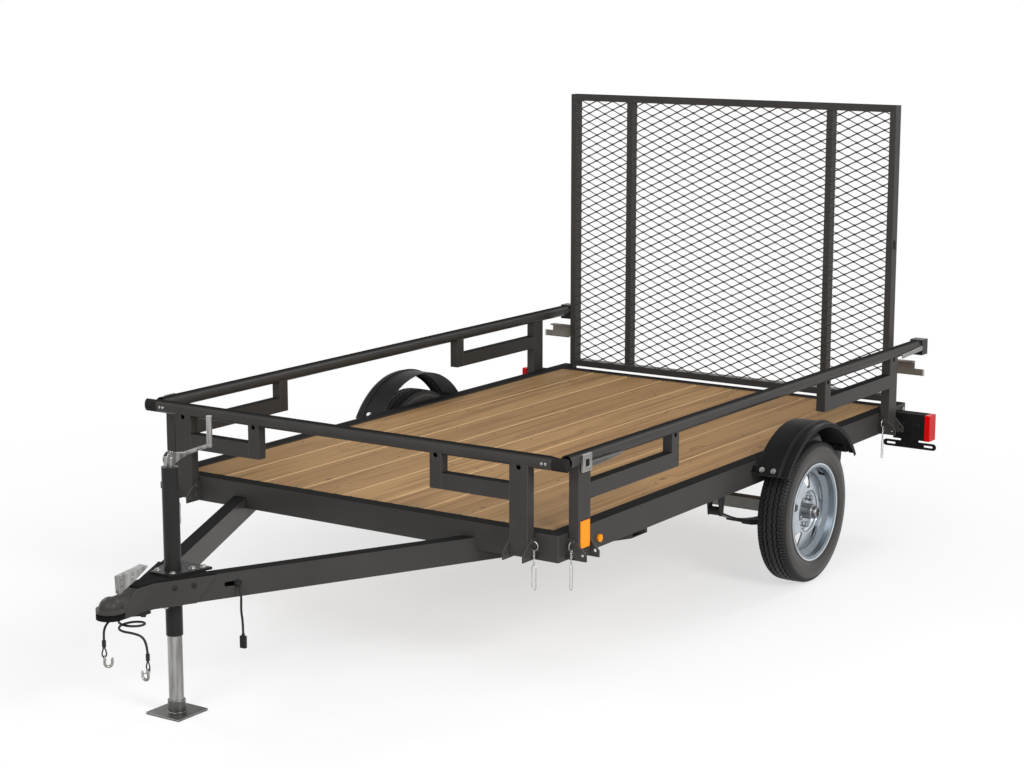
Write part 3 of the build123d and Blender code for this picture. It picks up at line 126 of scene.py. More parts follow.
class Finish(Nodes):
    """A material built from nodes, laid out on the object's own coordinates."""

    def __init__(self, name):
        self.material = bpy.data.materials.new(name)
        self.material.use_nodes = True
        super().__init__(self.material.node_tree)
        self.surface = self.tree.nodes["Principled BSDF"]
        self.coordinates = self.node("ShaderNodeTexCoord").outputs["Object"]

    def amount(self, kind, settings=None, inputs=None, output=0):
        return Amount(self, self.node(kind, settings, inputs).outputs[output])

    def axis(self, name):
        """One of the object's coordinates, in metres."""
        return self.amount("ShaderNodeSeparateXYZ", None, {"Vector": self.coordinates}, name)

    def stretched(self, scale, vector=None):
        """The object's coordinates, or others, scaled along each axis."""
        return self.node("ShaderNodeMapping", None, {
            "Vector": vector or self.coordinates, "Scale": scale}).outputs[0]

    def noise(self, scale, detail=3.0, vector=None):
        return self.amount("ShaderNodeTexNoise", None, {
            "Vector": vector or self.coordinates, "Scale": scale, "Detail": detail}, "Fac")

    def cells(self, scale, vector=None, output="Distance"):
        return self.amount("ShaderNodeTexVoronoi", {"feature": "F1"}, {
            "Vector": vector or self.coordinates, "Scale": scale}, output)

    def step(self, value, low, high, start=0.0, end=1.0):
        """Smooth change from start to end while the value goes from low to high."""
        return self.amount("ShaderNodeMapRange", {"interpolation_type": "SMOOTHSTEP"}, {
            "Value": value, "From Min": low, "From Max": high, "To Min": start, "To Max": end})

    def blend(self, share, first, second):
        """Colour between two colours or links of colours."""
        return self.node("ShaderNodeMix", {"data_type": "RGBA"}, {
            0: share, 6: first, 7: second}).outputs[2]

    def rounded_normal(self, radius):
        """Normal that rounds the sharp edges of sheet and tube."""
        return self.node("ShaderNodeBevel", {"samples": 4}, {"Radius": radius}).outputs[0]

    def edges(self, rounded):
        """One along sharp edges and zero on flat faces."""
        flat = self.node("ShaderNodeNewGeometry").outputs["Normal"]
        along = self.amount("ShaderNodeVectorMath", {"operation": "DOT_PRODUCT"},
                            {0: rounded, 1: flat}, "Value")
        return self.step(1.0 - along, 0.01, 0.16)

    def bump(self, height, depth, strength=1.0, normal=None):
        inputs = {"Height": height, "Distance": depth, "Strength": strength}
        if normal is not None:
            inputs["Normal"] = normal
        return self.node("ShaderNodeBump", None, inputs).outputs[0]

    def wear(self, **sockets):
        """Set or link the surface's own sockets."""
        names = {"colour": "Base Color", "rough": "Roughness", "metal": "Metallic", "normal": "Normal",
                 "specular": "Specular IOR Level", "glow": "Emission Color",
                 "glow_strength": "Emission Strength"}
        for name, value in sockets.items():
            self.feed(self.surface.inputs[names[name]], value)
        return self

    def clouded(self, cloud, dark, light, rough, edge=None, radius=0.0012, where=None, grain=None, **rest):
        """Clouds between two tones, with a third tone painted on sharp edges as a painted highlight, or where
        a function says.

        A cloud is a noise's scale and detail. The roughness is its least value and what the
        clouds add. An edge is a share and a tone. A grain is a noise, its depth and its strength.
        """
        dust = self.noise(*cloud)
        rounded = self.rounded_normal(radius)
        tone = self.blend(dust, dark, light)
        # Painted highlight: the third tone laid on the edges.
        if edge:
            share, bright = edge
            tone = self.blend(share * (where(self) if where else self.edges(rounded)), tone, bright)
        normal = self.bump(self.noise(*grain[0]), grain[1], grain[2], rounded) if grain else rounded
        return self.wear(colour=tone, rough=rough[0] + rough[1] * dust, normal=normal, **rest)


# The studio has a pale floor that turns to plain white some metres away from the trailer.
# The world is white where it is seen or mirrored, and lights the trailer softly.


def looked_at(nodes):
    """One for a ray that comes from the camera, a mirror or glass."""
    ray = nodes.node("ShaderNodeLightPath").outputs
    seen = Amount(nodes, ray["Is Camera Ray"])
    for kind in ("Is Glossy Ray", "Is Transmission Ray"):
        seen = seen.called("MAXIMUM", Amount(nodes, ray[kind]))
    return seen


floor_half = 150.0
floor_mesh = bpy.data.meshes.new("studio_floor")
floor_mesh.from_pydata([(-floor_half, -floor_half, 0), (floor_half, -floor_half, 0),
                        (floor_half, floor_half, 0), (-floor_half, floor_half, 0)], [], [(0, 1, 2, 3)])
studio_floor = placed("studio_floor", floor_mesh)
floor_finish = Finish("studio_floor").wear(colour=(0.93, 0.93, 0.93), rough=0.9, specular=0.1)
far = floor_finish.amount("ShaderNodeVectorMath", {"operation": "LENGTH"},
                          {0: floor_finish.coordinates}, "Value")
plain = floor_finish.node("ShaderNodeEmission", None, {"Color": (1.0, 1.0, 1.0), "Strength": 1.0})
fade = floor_finish.node("ShaderNodeMixShader", None, {
    "Fac": floor_finish.step(far, 1.2, 4.2, 0.62, 1.0) * looked_at(floor_finish),
    1: floor_finish.surface.outputs[0], 2: plain.outputs[0]})
floor_finish.feed(floor_finish.tree.nodes["Material Output"].inputs[0], fade.outputs[0])
floor_mesh.materials.append(floor_finish.material)

world = bpy.data.worlds.new("studio")
world.use_nodes = True
bpy.context.scene.world = world
sky = Nodes(world.node_tree)
background = sky.tree.nodes["Background"]
sky.feed(background.inputs["Color"], (1.0, 1.0, 1.0))
sky.feed(background.inputs["Strength"], sky.node("ShaderNodeMix", None, {
    0: looked_at(sky), 2: 0.43, 3: 1.0}).outputs[0])

lamp_size = 2.6
lamps = [
    # name, place, watts
    ("key_light", (6.5, -2.5, 4.2), 330.0),
    ("front_light", (1.0, -7.0, 4.0), 170.0),
    ("right_light", (-6.0, -1.0, 4.5), 130.0),
    ("back_light", (1.5, 6.5, 5.0), 150.0),
]
for name, place, watts in lamps:
    lamp_data = bpy.data.lights.new(name, "AREA")
    lamp_data.size = lamp_size
    lamp_data.energy = watts
    lamp = placed(name, lamp_data)
    lamp.location = place
    lamp.rotation_euler = Vector(place).to_track_quat("Z", "Y").to_euler()


def at(x, y, z):
    """A place given in millimetres from the deck's front edge, the middle and the ground."""
    return Vector((x, y - 794.5, z)) / 1000.0


# Two safety cables hang under the coupler, each a steel cable of 8 mm in a dark sleeve.
# The left one is coiled like a spring, and each ends in a crimped ferrule and a hook.
sleeve = Finish("cable_sleeve")
sleeve_wrap = sleeve.noise(420.0, 2.0)
sleeve.wear(colour=sleeve.blend(sleeve_wrap, (0.005, 0.005, 0.005), (0.018, 0.018, 0.018)),
            rough=0.3 + 0.25 * sleeve_wrap, specular=0.25,
            normal=sleeve.bump(sleeve_wrap, 0.0004))
cable_width = 0.008


def cord_line(name, route, width, finish):
    """One smooth line along a route, as thick as the cord."""
    curve = bpy.data.curves.new(name, "CURVE")
    curve.dimensions = "3D"
    curve.bevel_depth = width / 2
    curve.bevel_resolution = 4
    curve.resolution_u = 10
    curve.use_fill_caps = True
    line = curve.splines.new("NURBS")
    line.points.add(len(route) - 1)
    for point, place in zip(line.points, route):
        point.co = (*place, 1.0)
    line.order_u = 3
    line.use_endpoint_u = True
    curve.materials.append(finish.material)
    return placed(name, curve)


def below_tongue(x, y, z):
    """A place given from the bottom of the point where the beams meet."""
    return at(x, y - 1185.0, z + 394.0)


coil_points = 14
coil_step = 45.0
coil_radius = 45.0
coil_pitch = 22.0
left_route = []
for number in range(coil_points):
    turn = math.radians(90.0 + coil_step * number)
    left_route.append(below_tongue(10.0 + coil_radius * math.cos(turn),
                                   coil_radius * math.sin(turn) - 30.0,
                                   -14.0 - coil_pitch * number * coil_step / 360.0))
left_route += [below_tongue(70, -42, -62), below_tongue(77, -31, -101), below_tongue(77, -31, -141)]
right_route = [below_tongue(-22, 22, -14), below_tongue(-41, -3, -16), below_tongue(-54, -37, -19),
               below_tongue(-55, -72, -25), below_tongue(-48, -99, -42), below_tongue(-41, -108, -70),
               below_tongue(-41, -108, -96)]


def joined_piece(name, shape, finish, body, slot_name, *replaced):
    """Put a finished shape in the scene, riding on a body, in place of the solids named last."""
    bmesh.ops.recalc_face_normals(shape, faces=shape.faces)
    mesh = bpy.data.meshes.new(name)
    shape.to_mesh(mesh)
    shape.free()
    mesh.materials.append(finish.material)
    mesh.shade_smooth()
    mesh.set_sharp_from_angle(angle=math.radians(40.0))
    made = placed(name, mesh)
    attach(made, body)
    if replaced:
        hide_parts(*replaced)
    return made


def join_rings(shape, rings, closed=False):
    """Skin from each ring of vertices to the next, with flat ends unless the rings close."""
    for number in range(len(rings) if closed else len(rings) - 1):
        first = rings[number]
        second = rings[(number + 1) % len(rings)]
        for corner in range(len(first)):
            following = (corner + 1) % len(first)
            shape.faces.new((first[corner], first[following], second[following], second[corner]))
    if not closed:
        shape.faces.new(list(reversed(rings[0])))
        shape.faces.new(rings[-1])


def add_wire(shape, places, radius, sides, closed=False):
    """Round wire through places, of one radius or a list, closed into a ring or with flat ends."""
    count = len(places)
    radii = radius if isinstance(radius, list) else [radius] * count
    rings = []
    side = None
    for number, place in enumerate(places):
        before = places[number - 1] if closed or number > 0 else place
        after = places[(number + 1) % count] if closed or number < count - 1 else place
        along = (after - before).normalized()
        if side is None:
            side = along.orthogonal()
        side = (side - along * side.dot(along)).normalized()
        across = along.cross(side)
        turns = [2 * math.pi * corner / sides for corner in range(sides)]
        rings.append([shape.verts.new(
            place + radii[number] * (math.cos(turn) * side + math.sin(turn) * across)) for turn in turns])
    join_rings(shape, rings, closed)


def arc(middle, radius, start, end, steps, across=(1, 0, 0), up=(0, 0, 1)):
    """Places along an arc, in a plane given by two directions."""
    middle = Vector(middle)
    across = Vector(across)
    up = Vector(up)
    places = []
    for number in range(steps + 1):
        turn = math.radians(start + (end - start) * number / steps)
        places.append(middle + radius * (math.cos(turn) * across + math.sin(turn) * up))
    return places


# The hooks are zinc plated wire with a spring latch across the mouth.
# Each hangs in a teardrop eye of the cable, which is crimped in a black ferrule.
zinc = Finish("zinc_plate")
streaks = zinc.noise(1.0, 3.0, zinc.stretched((42.0, 42.0, 3.5)))
zinc_round = zinc.rounded_normal(0.0012)
zinc_edge_highlight = zinc.edges(zinc_round)
# The streaks between a dark and a light tone are partly the plating and partly painted reflection.
zinc_streak_and_reflection_share = zinc.step(streaks, 0.30, 0.70)
zinc_tone = zinc.blend(zinc_streak_and_reflection_share, (0.17, 0.166, 0.158), (0.42, 0.415, 0.40))
# Sharp edges are painted bright, a painted highlight.
zinc.wear(colour=zinc.blend(0.7 * zinc_edge_highlight, zinc_tone, (0.80, 0.80, 0.78)), metal=0.9,
          rough=0.20 + 0.20 * streaks, normal=zinc_round)

hook_ends = [
    # side, the cable's end, direction of the hook's tip in degrees
    ("left", left_route[-1], 180.0),
    ("right", right_route[-1], 60.0),
]
down = Vector((0, 0, -1))
hook_wire = 0.0044
eye_steps = 28
bend_steps = 20
for side, end, turned in hook_ends:
    cable_eyes = bmesh.new()
    hooks = bmesh.new()
    tipward = Vector((math.cos(math.radians(turned)), math.sin(math.radians(turned)), 0))
    ferrule_top = end - 0.020 * down
    add_wire(cable_eyes, [ferrule_top, ferrule_top + 0.001 * down, ferrule_top + 0.023 * down,
                          ferrule_top + 0.024 * down], [0.0055, 0.0068, 0.0068, 0.0055], 14)
    eye = []
    for number in range(eye_steps):
        turn = 2 * math.pi * number / eye_steps
        width = 0.0105 * math.sin(turn) * (0.60 - 0.40 * math.cos(turn))
        eye.append(end + (0.0195 - 0.0175 * math.cos(turn)) * down + width * tipward)
    add_wire(cable_eyes, eye, 0.0024, 8, closed=True)
    centre = end + 0.058 * down + 0.013 * tipward
    swivel = arc(end + 0.040 * down, 0.0062, 0, 360, 18, tipward.cross(down), down)[:-1]
    add_wire(hooks, swivel, 0.0032, 8, closed=True)
    shank = [end + 0.046 * down, end + 0.052 * down]
    shank += arc(centre, 0.013, 180, 360, bend_steps, tipward, -down)
    shank += [centre + 0.013 * tipward - 0.010 * down, centre + 0.0135 * tipward - 0.016 * down]
    bend_sizes = [hook_wire + 0.0006 * math.sin(math.pi * k / bend_steps) for k in range(bend_steps + 1)]
    add_wire(hooks, shank, [hook_wire] * 2 + bend_sizes + [0.004, 0.0028], 12)
    latch_bar = [end + 0.044 * down + 0.002 * tipward, end + 0.050 * down + 0.012 * tipward,
                 centre + 0.0115 * tipward - 0.010 * down]
    add_wire(hooks, latch_bar, 0.0018, 6)
    joined_piece(side + "_cable_ferrule", cable_eyes, sleeve, "chassis", "cable_sleeve", "cable_hooks")
    joined_piece(side + "_safety_hook", hooks, zinc, "chassis", "zinc", "cable_hooks")

# Each cable is one smooth cord from the anchor under the coupler to its ferrule.
# The lengths are measured along the routes.
for side, route, length in (("left", left_route, 0.545), ("right", right_route, 0.190)):
    cable = cord_line(side + "_cable", route, cable_width, sleeve)
    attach(cable, "chassis")
    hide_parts(side + "_safety_cable")

# The wiring lead comes out of the left beam through a grommet and hangs to a flat plug.
# The lead is soft black plastic, and the plug has moulded ribs on its sides.
moulded = Finish("moulded_black")
moulded_grain = moulded.noise(700.0, 2.0)
moulded.wear(colour=(0.008, 0.008, 0.008), rough=0.40 + 0.2 * moulded_grain, specular=0.25,
             normal=moulded.bump(moulded_grain, 0.0002))
lead_route = [below_tongue(169.3, 313.9, 39.5), below_tongue(184.5, 306.3, 22.5),
              below_tongue(187, 305, -4), below_tongue(183, 307, -42),
              below_tongue(181, 317, -83), below_tongue(181, 317, -123.5)]
lead_width = 0.008
plug_low = lead_route[-1] - Vector((0, 0, 0.050))
plug = bmesh.new()
plug_blocks = [
    # low and high end, half of the width across and along: the body, then its ribs
    (0.0, 0.042, 0.0108, 0.0066), (0.006, 0.010, 0.011, 0.007), (0.014, 0.018, 0.011, 0.007),
    (0.022, 0.026, 0.011, 0.007), (0.030, 0.034, 0.011, 0.007),
]
for low, high, half_x, half_y in plug_blocks:
    for vertex in bmesh.ops.create_cube(plug, size=1.0)["verts"]:
        vertex.co = plug_low + Vector((vertex.co.x * 2 * half_x, vertex.co.y * 2 * half_y,
                                       low + (vertex.co.z + 0.5) * (high - low)))
bmesh.ops.bevel(plug, geom=plug.edges[:], offset=0.0008, segments=2, affect="EDGES")
add_wire(plug, [plug_low + Vector((0, 0, z)) for z in (0.041, 0.044, 0.050)],
         [0.0066, 0.0062, 0.0048], 14)
lead_plug = joined_piece("lead_plug", plug, moulded, "chassis", "black_plastic", "wiring_plug")
lead = cord_line("tail_lead", lead_route, lead_width, moulded)
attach(lead, "chassis")
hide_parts("wiring_lead")


def dress(finish, *nodes):
    """Give a finish to solids that keep their own shape."""
    for node in nodes:
        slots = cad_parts[node].material_slots
        for slot in slots:
            slot.material = finish.material
        if not slots:
            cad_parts[node].data.materials.append(finish.material)


dress(moulded, "lead_grommet")

# The frame is welded from box section and tube, and powder coated a warm dark grey.
# The coat has a fine orange peel, and its sharp edges are painted lighter: a painted highlight, with some
# wear.
# Faces that point upwards are painted black and dull, as painted shade.


def powder_coat(name, painted_shade=None):
    """Coat of the frame's steel, painted black and dull as painted shade by a share that a function gives."""
    coat = Finish(name)
    peel = coat.noise(260.0, 2.0)
    dust = coat.noise(4.5, 4.0)
    rounded = coat.rounded_normal(0.003)
    tone = coat.blend(dust, (0.036, 0.0336, 0.0315), (0.051, 0.0475, 0.0445))
    # Sharp edges are painted lighter: a painted highlight, with some wear.
    tone = coat.blend(0.5 * coat.edges(rounded), tone, (0.15, 0.14, 0.13))
    rough = 0.24 + 0.10 * dust + 0.06 * peel
    if painted_shade:
        # Painted shade: the coat turns black and dull by this share.
        share = painted_shade(coat)
        tone = coat.blend(0.92 * share, tone, (0.003, 0.003, 0.003))
        rough = rough + 0.62 * share
    coat.wear(colour=tone, rough=rough, specular=0.09, normal=coat.bump(peel, 0.00025, 0.6, rounded))
    return coat


def above(height, fade=0.0007):
    """Share that grows to one over a fade just below a height."""
    top = height - 0.0003
    return lambda coat: coat.step(coat.axis("Z"), top - fade, top)


def coupler_painted_shade_and_collar(coat):
    """Painted shade on the coupler's upper faces, and black on the collar round its socket."""
    forward = coat.step(coat.axis("Y"), -2.062, -2.058, 1.0, 0.0)
    collar = forward * coat.step(coat.axis("Z"), 0.420, 0.424, 1.0, 0.0)
    return above(0.482)(coat).called("MAXIMUM", collar)


frame_coat = powder_coat("frame_powder_coat")
dress(frame_coat, "crossmembers", "rail_pivots", "left_rail_posts", "right_rail_posts",
      "front_rail_posts", "gate_hinge_lugs")
# Painted shade along the upper side of the rail tubes.
tube_painted_shade = above(0.8224, 0.012)
topped_coats = [
    # name, where painted shade makes the coat black, nodes
    ("tube_powder_coat", tube_painted_shade, ("left_rail_tube", "right_rail_tube")),
    ("member_powder_coat", above(0.538), ("front_member", "rear_member", "left_member", "right_member")),
    ("beam_powder_coat", above(0.482), ("left_tongue_beam", "right_tongue_beam")),
    ("coupler_coat", coupler_painted_shade_and_collar, ("coupler",)),
    ("brace_powder_coat", above(0.709), ("left_rail_braces", "right_rail_braces", "front_rail_braces")),
    ("gate_powder_coat", above(1.868), ("gate_frame",)),
]
for name, painted_shade, nodes in topped_coats:
    dress(powder_coat(name, painted_shade), *nodes)

# The axle is a square tube that is galvanised, and lighter than the painted frame.
# Its zinc has gone dull, with a faint cloud of spangle.
dress(Finish("dull_galvanised").clouded(
    (24.0, 4.0), (0.17, 0.17, 0.155), (0.27, 0.27, 0.25), rough=(0.45, 0.2),
    radius=0.004, metal=0.4), "axle")

# The jack's tube and plate, the springs, their clamps and the cables' anchor are black steel.
# They share one satin black, a little rougher than the frame, with edges painted lighter as a painted
# highlight.
black_steel = Finish("black_steel_coat").clouded(
    (9.0, 4.0), (0.010, 0.010, 0.0098), (0.022, 0.0212, 0.0204), rough=(0.26, 0.16),
    edge=(0.4, (0.08, 0.08, 0.08)), radius=0.0015, grain=((180.0, 3.0), 0.0003, 0.6), specular=0.14)
dress(black_steel, "cable_anchor", "jack_outer_tube", "jack_mount_plate", "leaf_springs",
      "spring_hangers", "axle_clamps")

# The tail lamp boxes and the plate holder are folded sheet in a flat black.
# They are duller than the jack, and only their cut edges are painted lighter, a painted highlight.
dress(Finish("flat_black_sheet").clouded(
    (12.0, 4.0), (0.007, 0.007, 0.007), (0.014, 0.0135, 0.013), rough=(0.62, 0.2),
    edge=(0.25, (0.06, 0.06, 0.06)), specular=0.05), "tail_lamp_boxes", "licence_plate_holder")

# The coupler's latch, the jack's crank and leg and the gate's hinge bolts are zinc plated.
# They have the same bright plating as the hooks.
dress(zinc, "coupler_latch", "jack_crank", "jack_leg", "gate_hinge_bolts")

# The jack's foot is a pressed plate of zinc plated steel, dull and dark from lying on the ground.
# Its cut edges and the rim of its collar are painted bright, a painted highlight.
dress(Finish("foot_steel").clouded(
    (30.0, 5.0), (0.035, 0.035, 0.033), (0.20, 0.20, 0.19), rough=(0.28, 0.2),
    edge=(1.0, (0.85, 0.85, 0.83)), radius=0.0016, metal=0.9), "jack_foot")

# The crank's head is a teardrop of zinc plated plate on each side of the stem.
# A bolt through both plates is the crank's pivot.


def add_plate(shape, outline, low_x, high_x):
    """Flat plate between two places across the trailer, from an outline of lengths and heights."""
    join_rings(shape, [[shape.verts.new(at(x, y, z)) for y, z in outline] for x in (low_x, high_x)])


crank_y = -1005.0
crank_z = 872.0
head_radius = 24.0
head_steps = 24
teardrop = []
for number in range(head_steps + 1):
    turn = math.radians(62.0 + 236.0 * number / head_steps)
    teardrop.append((crank_y + head_radius * math.cos(turn), crank_z + head_radius * math.sin(turn)))
for along, up in ((40.0, -9.0), (68.0, -2.0), (73.0, 3.0), (68.0, 9.0), (40.0, 12.0)):
    teardrop.append((crank_y + along, crank_z + up))
crank_head = bmesh.new()
add_plate(crank_head, teardrop, 6.3, 9.3)
add_plate(crank_head, teardrop, -9.3, -6.3)
add_wire(crank_head, [at(x, crank_y, crank_z) for x in (-13.0, -12.0, 12.0, 13.0)],
         [0.005, 0.006, 0.006, 0.005], 16)
joined_piece("crank_head_plates", crank_head, zinc, "chassis", "zinc")

# The rail latches are zinc plated. At the front of each side rail a square block with a
# window takes the front rail's end, and a tapered channel is its lever.
# At the rear a black block holds a bright sliding bolt, moved by a flat bright lever.
# The latch zinc and the lever steel have their sharp edges painted bright, a painted highlight.
latch_zinc = Finish("latch_zinc").clouded(
    (34.0, 3.0), (0.15, 0.145, 0.137), (0.38, 0.375, 0.36), rough=(0.24, 0.2),
    edge=(0.8, (0.82, 0.82, 0.80)), radius=0.0015, metal=0.9)
lever_steel = Finish("latch_lever_steel").clouded(
    (34.0, 3.0), (0.085, 0.078, 0.070), (0.17, 0.158, 0.145), rough=(0.34, 0.2),
    edge=(0.6, (0.5, 0.49, 0.47)), metal=0.6)
latch_plates = [
    # kind, distances from the middle, outline of lengths and heights
    # The four sides of the block stand round its window.
    ("block", 960.8, 969.6, [(6.0, 756.0), (21.0, 756.0), (21.0, 818.0), (6.0, 818.0)]),
    ("block", 960.8, 969.6, [(47.0, 756.0), (62.0, 756.0), (62.0, 818.0), (47.0, 818.0)]),
    ("block", 960.8, 969.6, [(20.5, 756.0), (47.5, 756.0), (47.5, 773.0), (20.5, 773.0)]),
    ("block", 960.8, 969.6, [(20.5, 800.0), (47.5, 800.0), (47.5, 818.0), (20.5, 818.0)]),
    # The rear lever is a flat bar with a round end, and the bolt shows behind the block.
    ("block", 962.0, 966.0, [(2650.0, 768.0), (2856.0, 776.0), (2861.5, 781.0), (2861.5, 793.0),
                             (2856.0, 797.0), (2650.0, 785.0)]),
    ("block", 912.0, 958.0, [(2919.8, 760.0), (2935.8, 760.0), (2935.8, 814.0), (2919.8, 814.0)]),
    # The black block at the rear, and a black plate at the back of the window, painted shade inside it.
    ("housing", 904.5, 965.5, [(2862.0, 752.5), (2920.0, 752.5), (2920.0, 821.5), (2862.0, 821.5)]),
    ("housing", 960.8, 961.8, [(20.0, 772.0), (48.0, 772.0), (48.0, 801.0), (20.0, 801.0)]),
    # The front lever's web with its two flanges narrows to the rear.
    ("lever", 961.8, 963.4, [(61.5, 768.0), (200.0, 771.0), (279.5, 775.0), (279.5, 782.0),
                             (200.0, 785.5), (61.5, 787.0)]),
    ("lever", 961.8, 969.4, [(61.5, 785.0), (200.0, 783.6), (200.0, 785.6), (61.5, 787.0)]),
    ("lever", 961.8, 969.4, [(61.5, 767.5), (200.0, 770.6), (200.0, 772.6), (61.5, 769.5)]),
]
latch_kinds = [
    # kind, the piece's name after its side, finish
    ("block", "_latch_blocks", latch_zinc),
    ("housing", "_latch_housing", black_steel),
    ("lever", "_latch_lever", lever_steel),
]
side_ways = (("left", 1.0), ("right", -1.0))
for side, way in side_ways:
    for kind, ending, finish in latch_kinds:
        latch = bmesh.new()
        for plate_kind, inner, outer, outline in latch_plates:
            if plate_kind == kind:
                add_plate(latch, outline, way * inner, way * outer)
        if kind == "housing":
            bmesh.ops.bevel(latch, geom=latch.edges[:], offset=0.0008, segments=1, affect="EDGES")
        joined_piece(side + ending, latch, finish, side + "_rail", "zinc", side + "_rail_latches")

# The gate's latch plates are flat steel of a dull brown grey.
# Their outer ends are folded to a lip, whose outer edge is coloured bright.
dress(Finish("latch_plate_steel").clouded(
    (40.0, 4.0), (0.12, 0.104, 0.088), (0.20, 0.178, 0.155), rough=(0.36, 0.2),
    edge=(0.8, (0.78, 0.78, 0.76)), metal=0.6,
    where=lambda steel: steel.step(steel.axis("X").called("ABSOLUTE"), 1.0030, 1.0040)), "gate_latch_plates")

# The deck is nine planks of pine laid lengthwise, each with its own tone and grain.
# Long streaks of late wood run along each plank and bend round its knots.
plank_pitch = 0.190
deck_edge = 0.852
pine = Finish("pine_planks")
plank_number = ((pine.axis("X") + deck_edge) / plank_pitch).called("FLOOR")
plank_tone = pine.amount("ShaderNodeTexWhiteNoise", {"noise_dimensions": "1D"}, {"W": plank_number}, "Value")
shifted = pine.node("ShaderNodeCombineXYZ", None, {
    "X": pine.axis("X") + 7.0 * plank_tone, "Y": pine.axis("Y") + 31.0 * plank_tone,
    "Z": pine.axis("Z")}).outputs[0]
knot_distance = pine.cells(1.0, pine.stretched((6.5, 2.6, 0.001), shifted))
knot = pine.step(knot_distance, 0.035, 0.085, 1.0, 0.0)
knot_halo = pine.step(knot_distance, 0.05, 0.30, 1.0, 0.0)
bend = pine.node("ShaderNodeVectorMath", {"operation": "ADD"}, {
    0: pine.stretched((42.0, 1.3, 42.0), shifted),
    1: pine.node("ShaderNodeCombineXYZ", None, {"X": 1.6 * knot_halo}).outputs[0]}).outputs[0]
streak = pine.noise(1.0, 5.0, bend)
fibre = pine.noise(1.0, 3.0, pine.stretched((420.0, 9.0, 420.0), shifted))
pine_light = pine.blend(plank_tone, (0.375, 0.222, 0.092), (0.285, 0.160, 0.064))
pine_grained = pine.blend(pine.step(streak, 0.42, 0.66), pine_light, (0.20, 0.105, 0.040))
pine_fibred = pine.blend(0.35 * fibre, pine_grained, (0.46, 0.29, 0.13))
pine_knotted = pine.blend(0.85 * knot, pine_fibred, (0.12, 0.055, 0.022))
# Bands along the long edges of each plank are painted light tan, a painted highlight between the planks.
across_plank = ((pine.axis("X") + deck_edge) / plank_pitch).called("FRACT")
plank_edge_highlight = pine.step(across_plank, 0.006, 0.022, 1.0, 0.0) + pine.step(across_plank, 0.946, 0.962)
pine_edge_lit = pine.blend(0.62 * plank_edge_highlight, pine_knotted, (0.74, 0.52, 0.29))
pine.wear(colour=pine_edge_lit, rough=0.5 + 0.2 * fibre, specular=0.12,
          normal=pine.bump(fibre + 0.6 * streak - 0.8 * knot, 0.0006, 0.5))
dress(pine, "deck_planks")

# The tyres are bias ply trailer tyres with a ribbed road tread in black rubber.
# Zigzag grooves run round the tread, the outer ribs are notched, and the walls have mould rings.
wheel_x = 989.0
axle_y = 1650.0
axle_z = 290.0


def round_axle(x, radius, turn):
    """A place at a distance from the axle's line, by the turn round it."""
    return at(x, axle_y + radius * math.cos(turn), axle_z + radius * math.sin(turn))


def axle_reach(finish):
    """Distance from the axle's line, in metres."""
    middle = at(wheel_x, axle_y, axle_z)
    away = finish.node("ShaderNodeVectorMath", {"operation": "SUBTRACT"}, {
        0: finish.coordinates, 1: (0.0, middle.y, middle.z)}).outputs[0]
    flat = finish.node("ShaderNodeVectorMath", {"operation": "MULTIPLY"}, {
        0: away, 1: (0.0, 1.0, 1.0)}).outputs[0]
    return finish.amount("ShaderNodeVectorMath", {"operation": "LENGTH"}, {0: flat}, "Value")


rubber = Finish("tyre_rubber")
reach = axle_reach(rubber)
scuff = rubber.noise(14.0, 5.0)
rubber_grain = rubber.noise(900.0, 2.0)
wall_rings = (1600.0 * reach).called("SINE")
ringed = rubber.step(reach, 0.252, 0.256) * rubber.step(reach, 0.268, 0.272, 1.0, 0.0)
on_wall = rubber.step(reach, 0.266, 0.272, 1.0, 0.0)
rubber_tread = rubber.blend(scuff, (0.005, 0.005, 0.005), (0.012, 0.0113, 0.0106))
rubber_wall = rubber.blend(scuff, (0.024, 0.0210, 0.0185), (0.038, 0.0335, 0.0300))
rubber.wear(colour=rubber.blend(on_wall, rubber_tread, rubber_wall),
            rough=0.52 + 0.10 * scuff - 0.22 * on_wall, specular=0.32,
            normal=rubber.bump(0.2 * rubber_grain + ringed * wall_rings * 0.5, 0.0006, 0.5))
tread_pitches = 62
zigzag_reach = 2.6
notch_depth = 4.5
half_profile = [
    # distance from the middle plane, radius, kind: rib top, groove or wall
    (0.0, 290.0, "rib"), (9.0, 290.0, "rib"), (10.2, 282.5, "groove"), (14.6, 282.5, "groove"),
    (15.8, 289.9, "rib"), (28.0, 289.6, "rib"), (29.2, 282.2, "groove"), (33.4, 282.2, "groove"),
    (34.6, 289.3, "rib"), (40.5, 289.0, "notched"), (47.0, 288.3, "notched"), (51.5, 286.8, "notched"),
    (55.0, 284.2, "notched"), (57.8, 280.4, "notched"), (59.6, 275.8, "wall"), (61.2, 270.6, "wall"),
    (62.6, 269.4, "wall"), (64.0, 263.0, "wall"), (65.2, 256.0, "wall"), (66.0, 247.0, "wall"),
    (65.6, 238.0, "wall"), (64.4, 229.0, "wall"), (62.6, 221.0, "wall"), (62.9, 218.6, "wall"),
    (60.4, 214.4, "wall"), (58.6, 212.6, "wall"), (57.4, 206.0, "wall"), (55.4, 201.0, "wall"),
    (55.0, 196.0, "wall"), (55.0, 187.0, "wall"),
]
notch_steps = [
    # share of a pitch, how deep the outer ribs' notch is there, zigzag's place
    (0.00, 0.0, 0.0), (0.16, 0.0, 0.32), (0.19, 1.0, 0.38), (0.31, 1.0, 0.62),
    (0.34, 0.0, 0.68), (0.50, 0.0, 1.0), (0.66, 0.0, 0.68), (0.69, 1.0, 0.62),
    (0.81, 1.0, 0.38), (0.84, 0.0, 0.32),
]
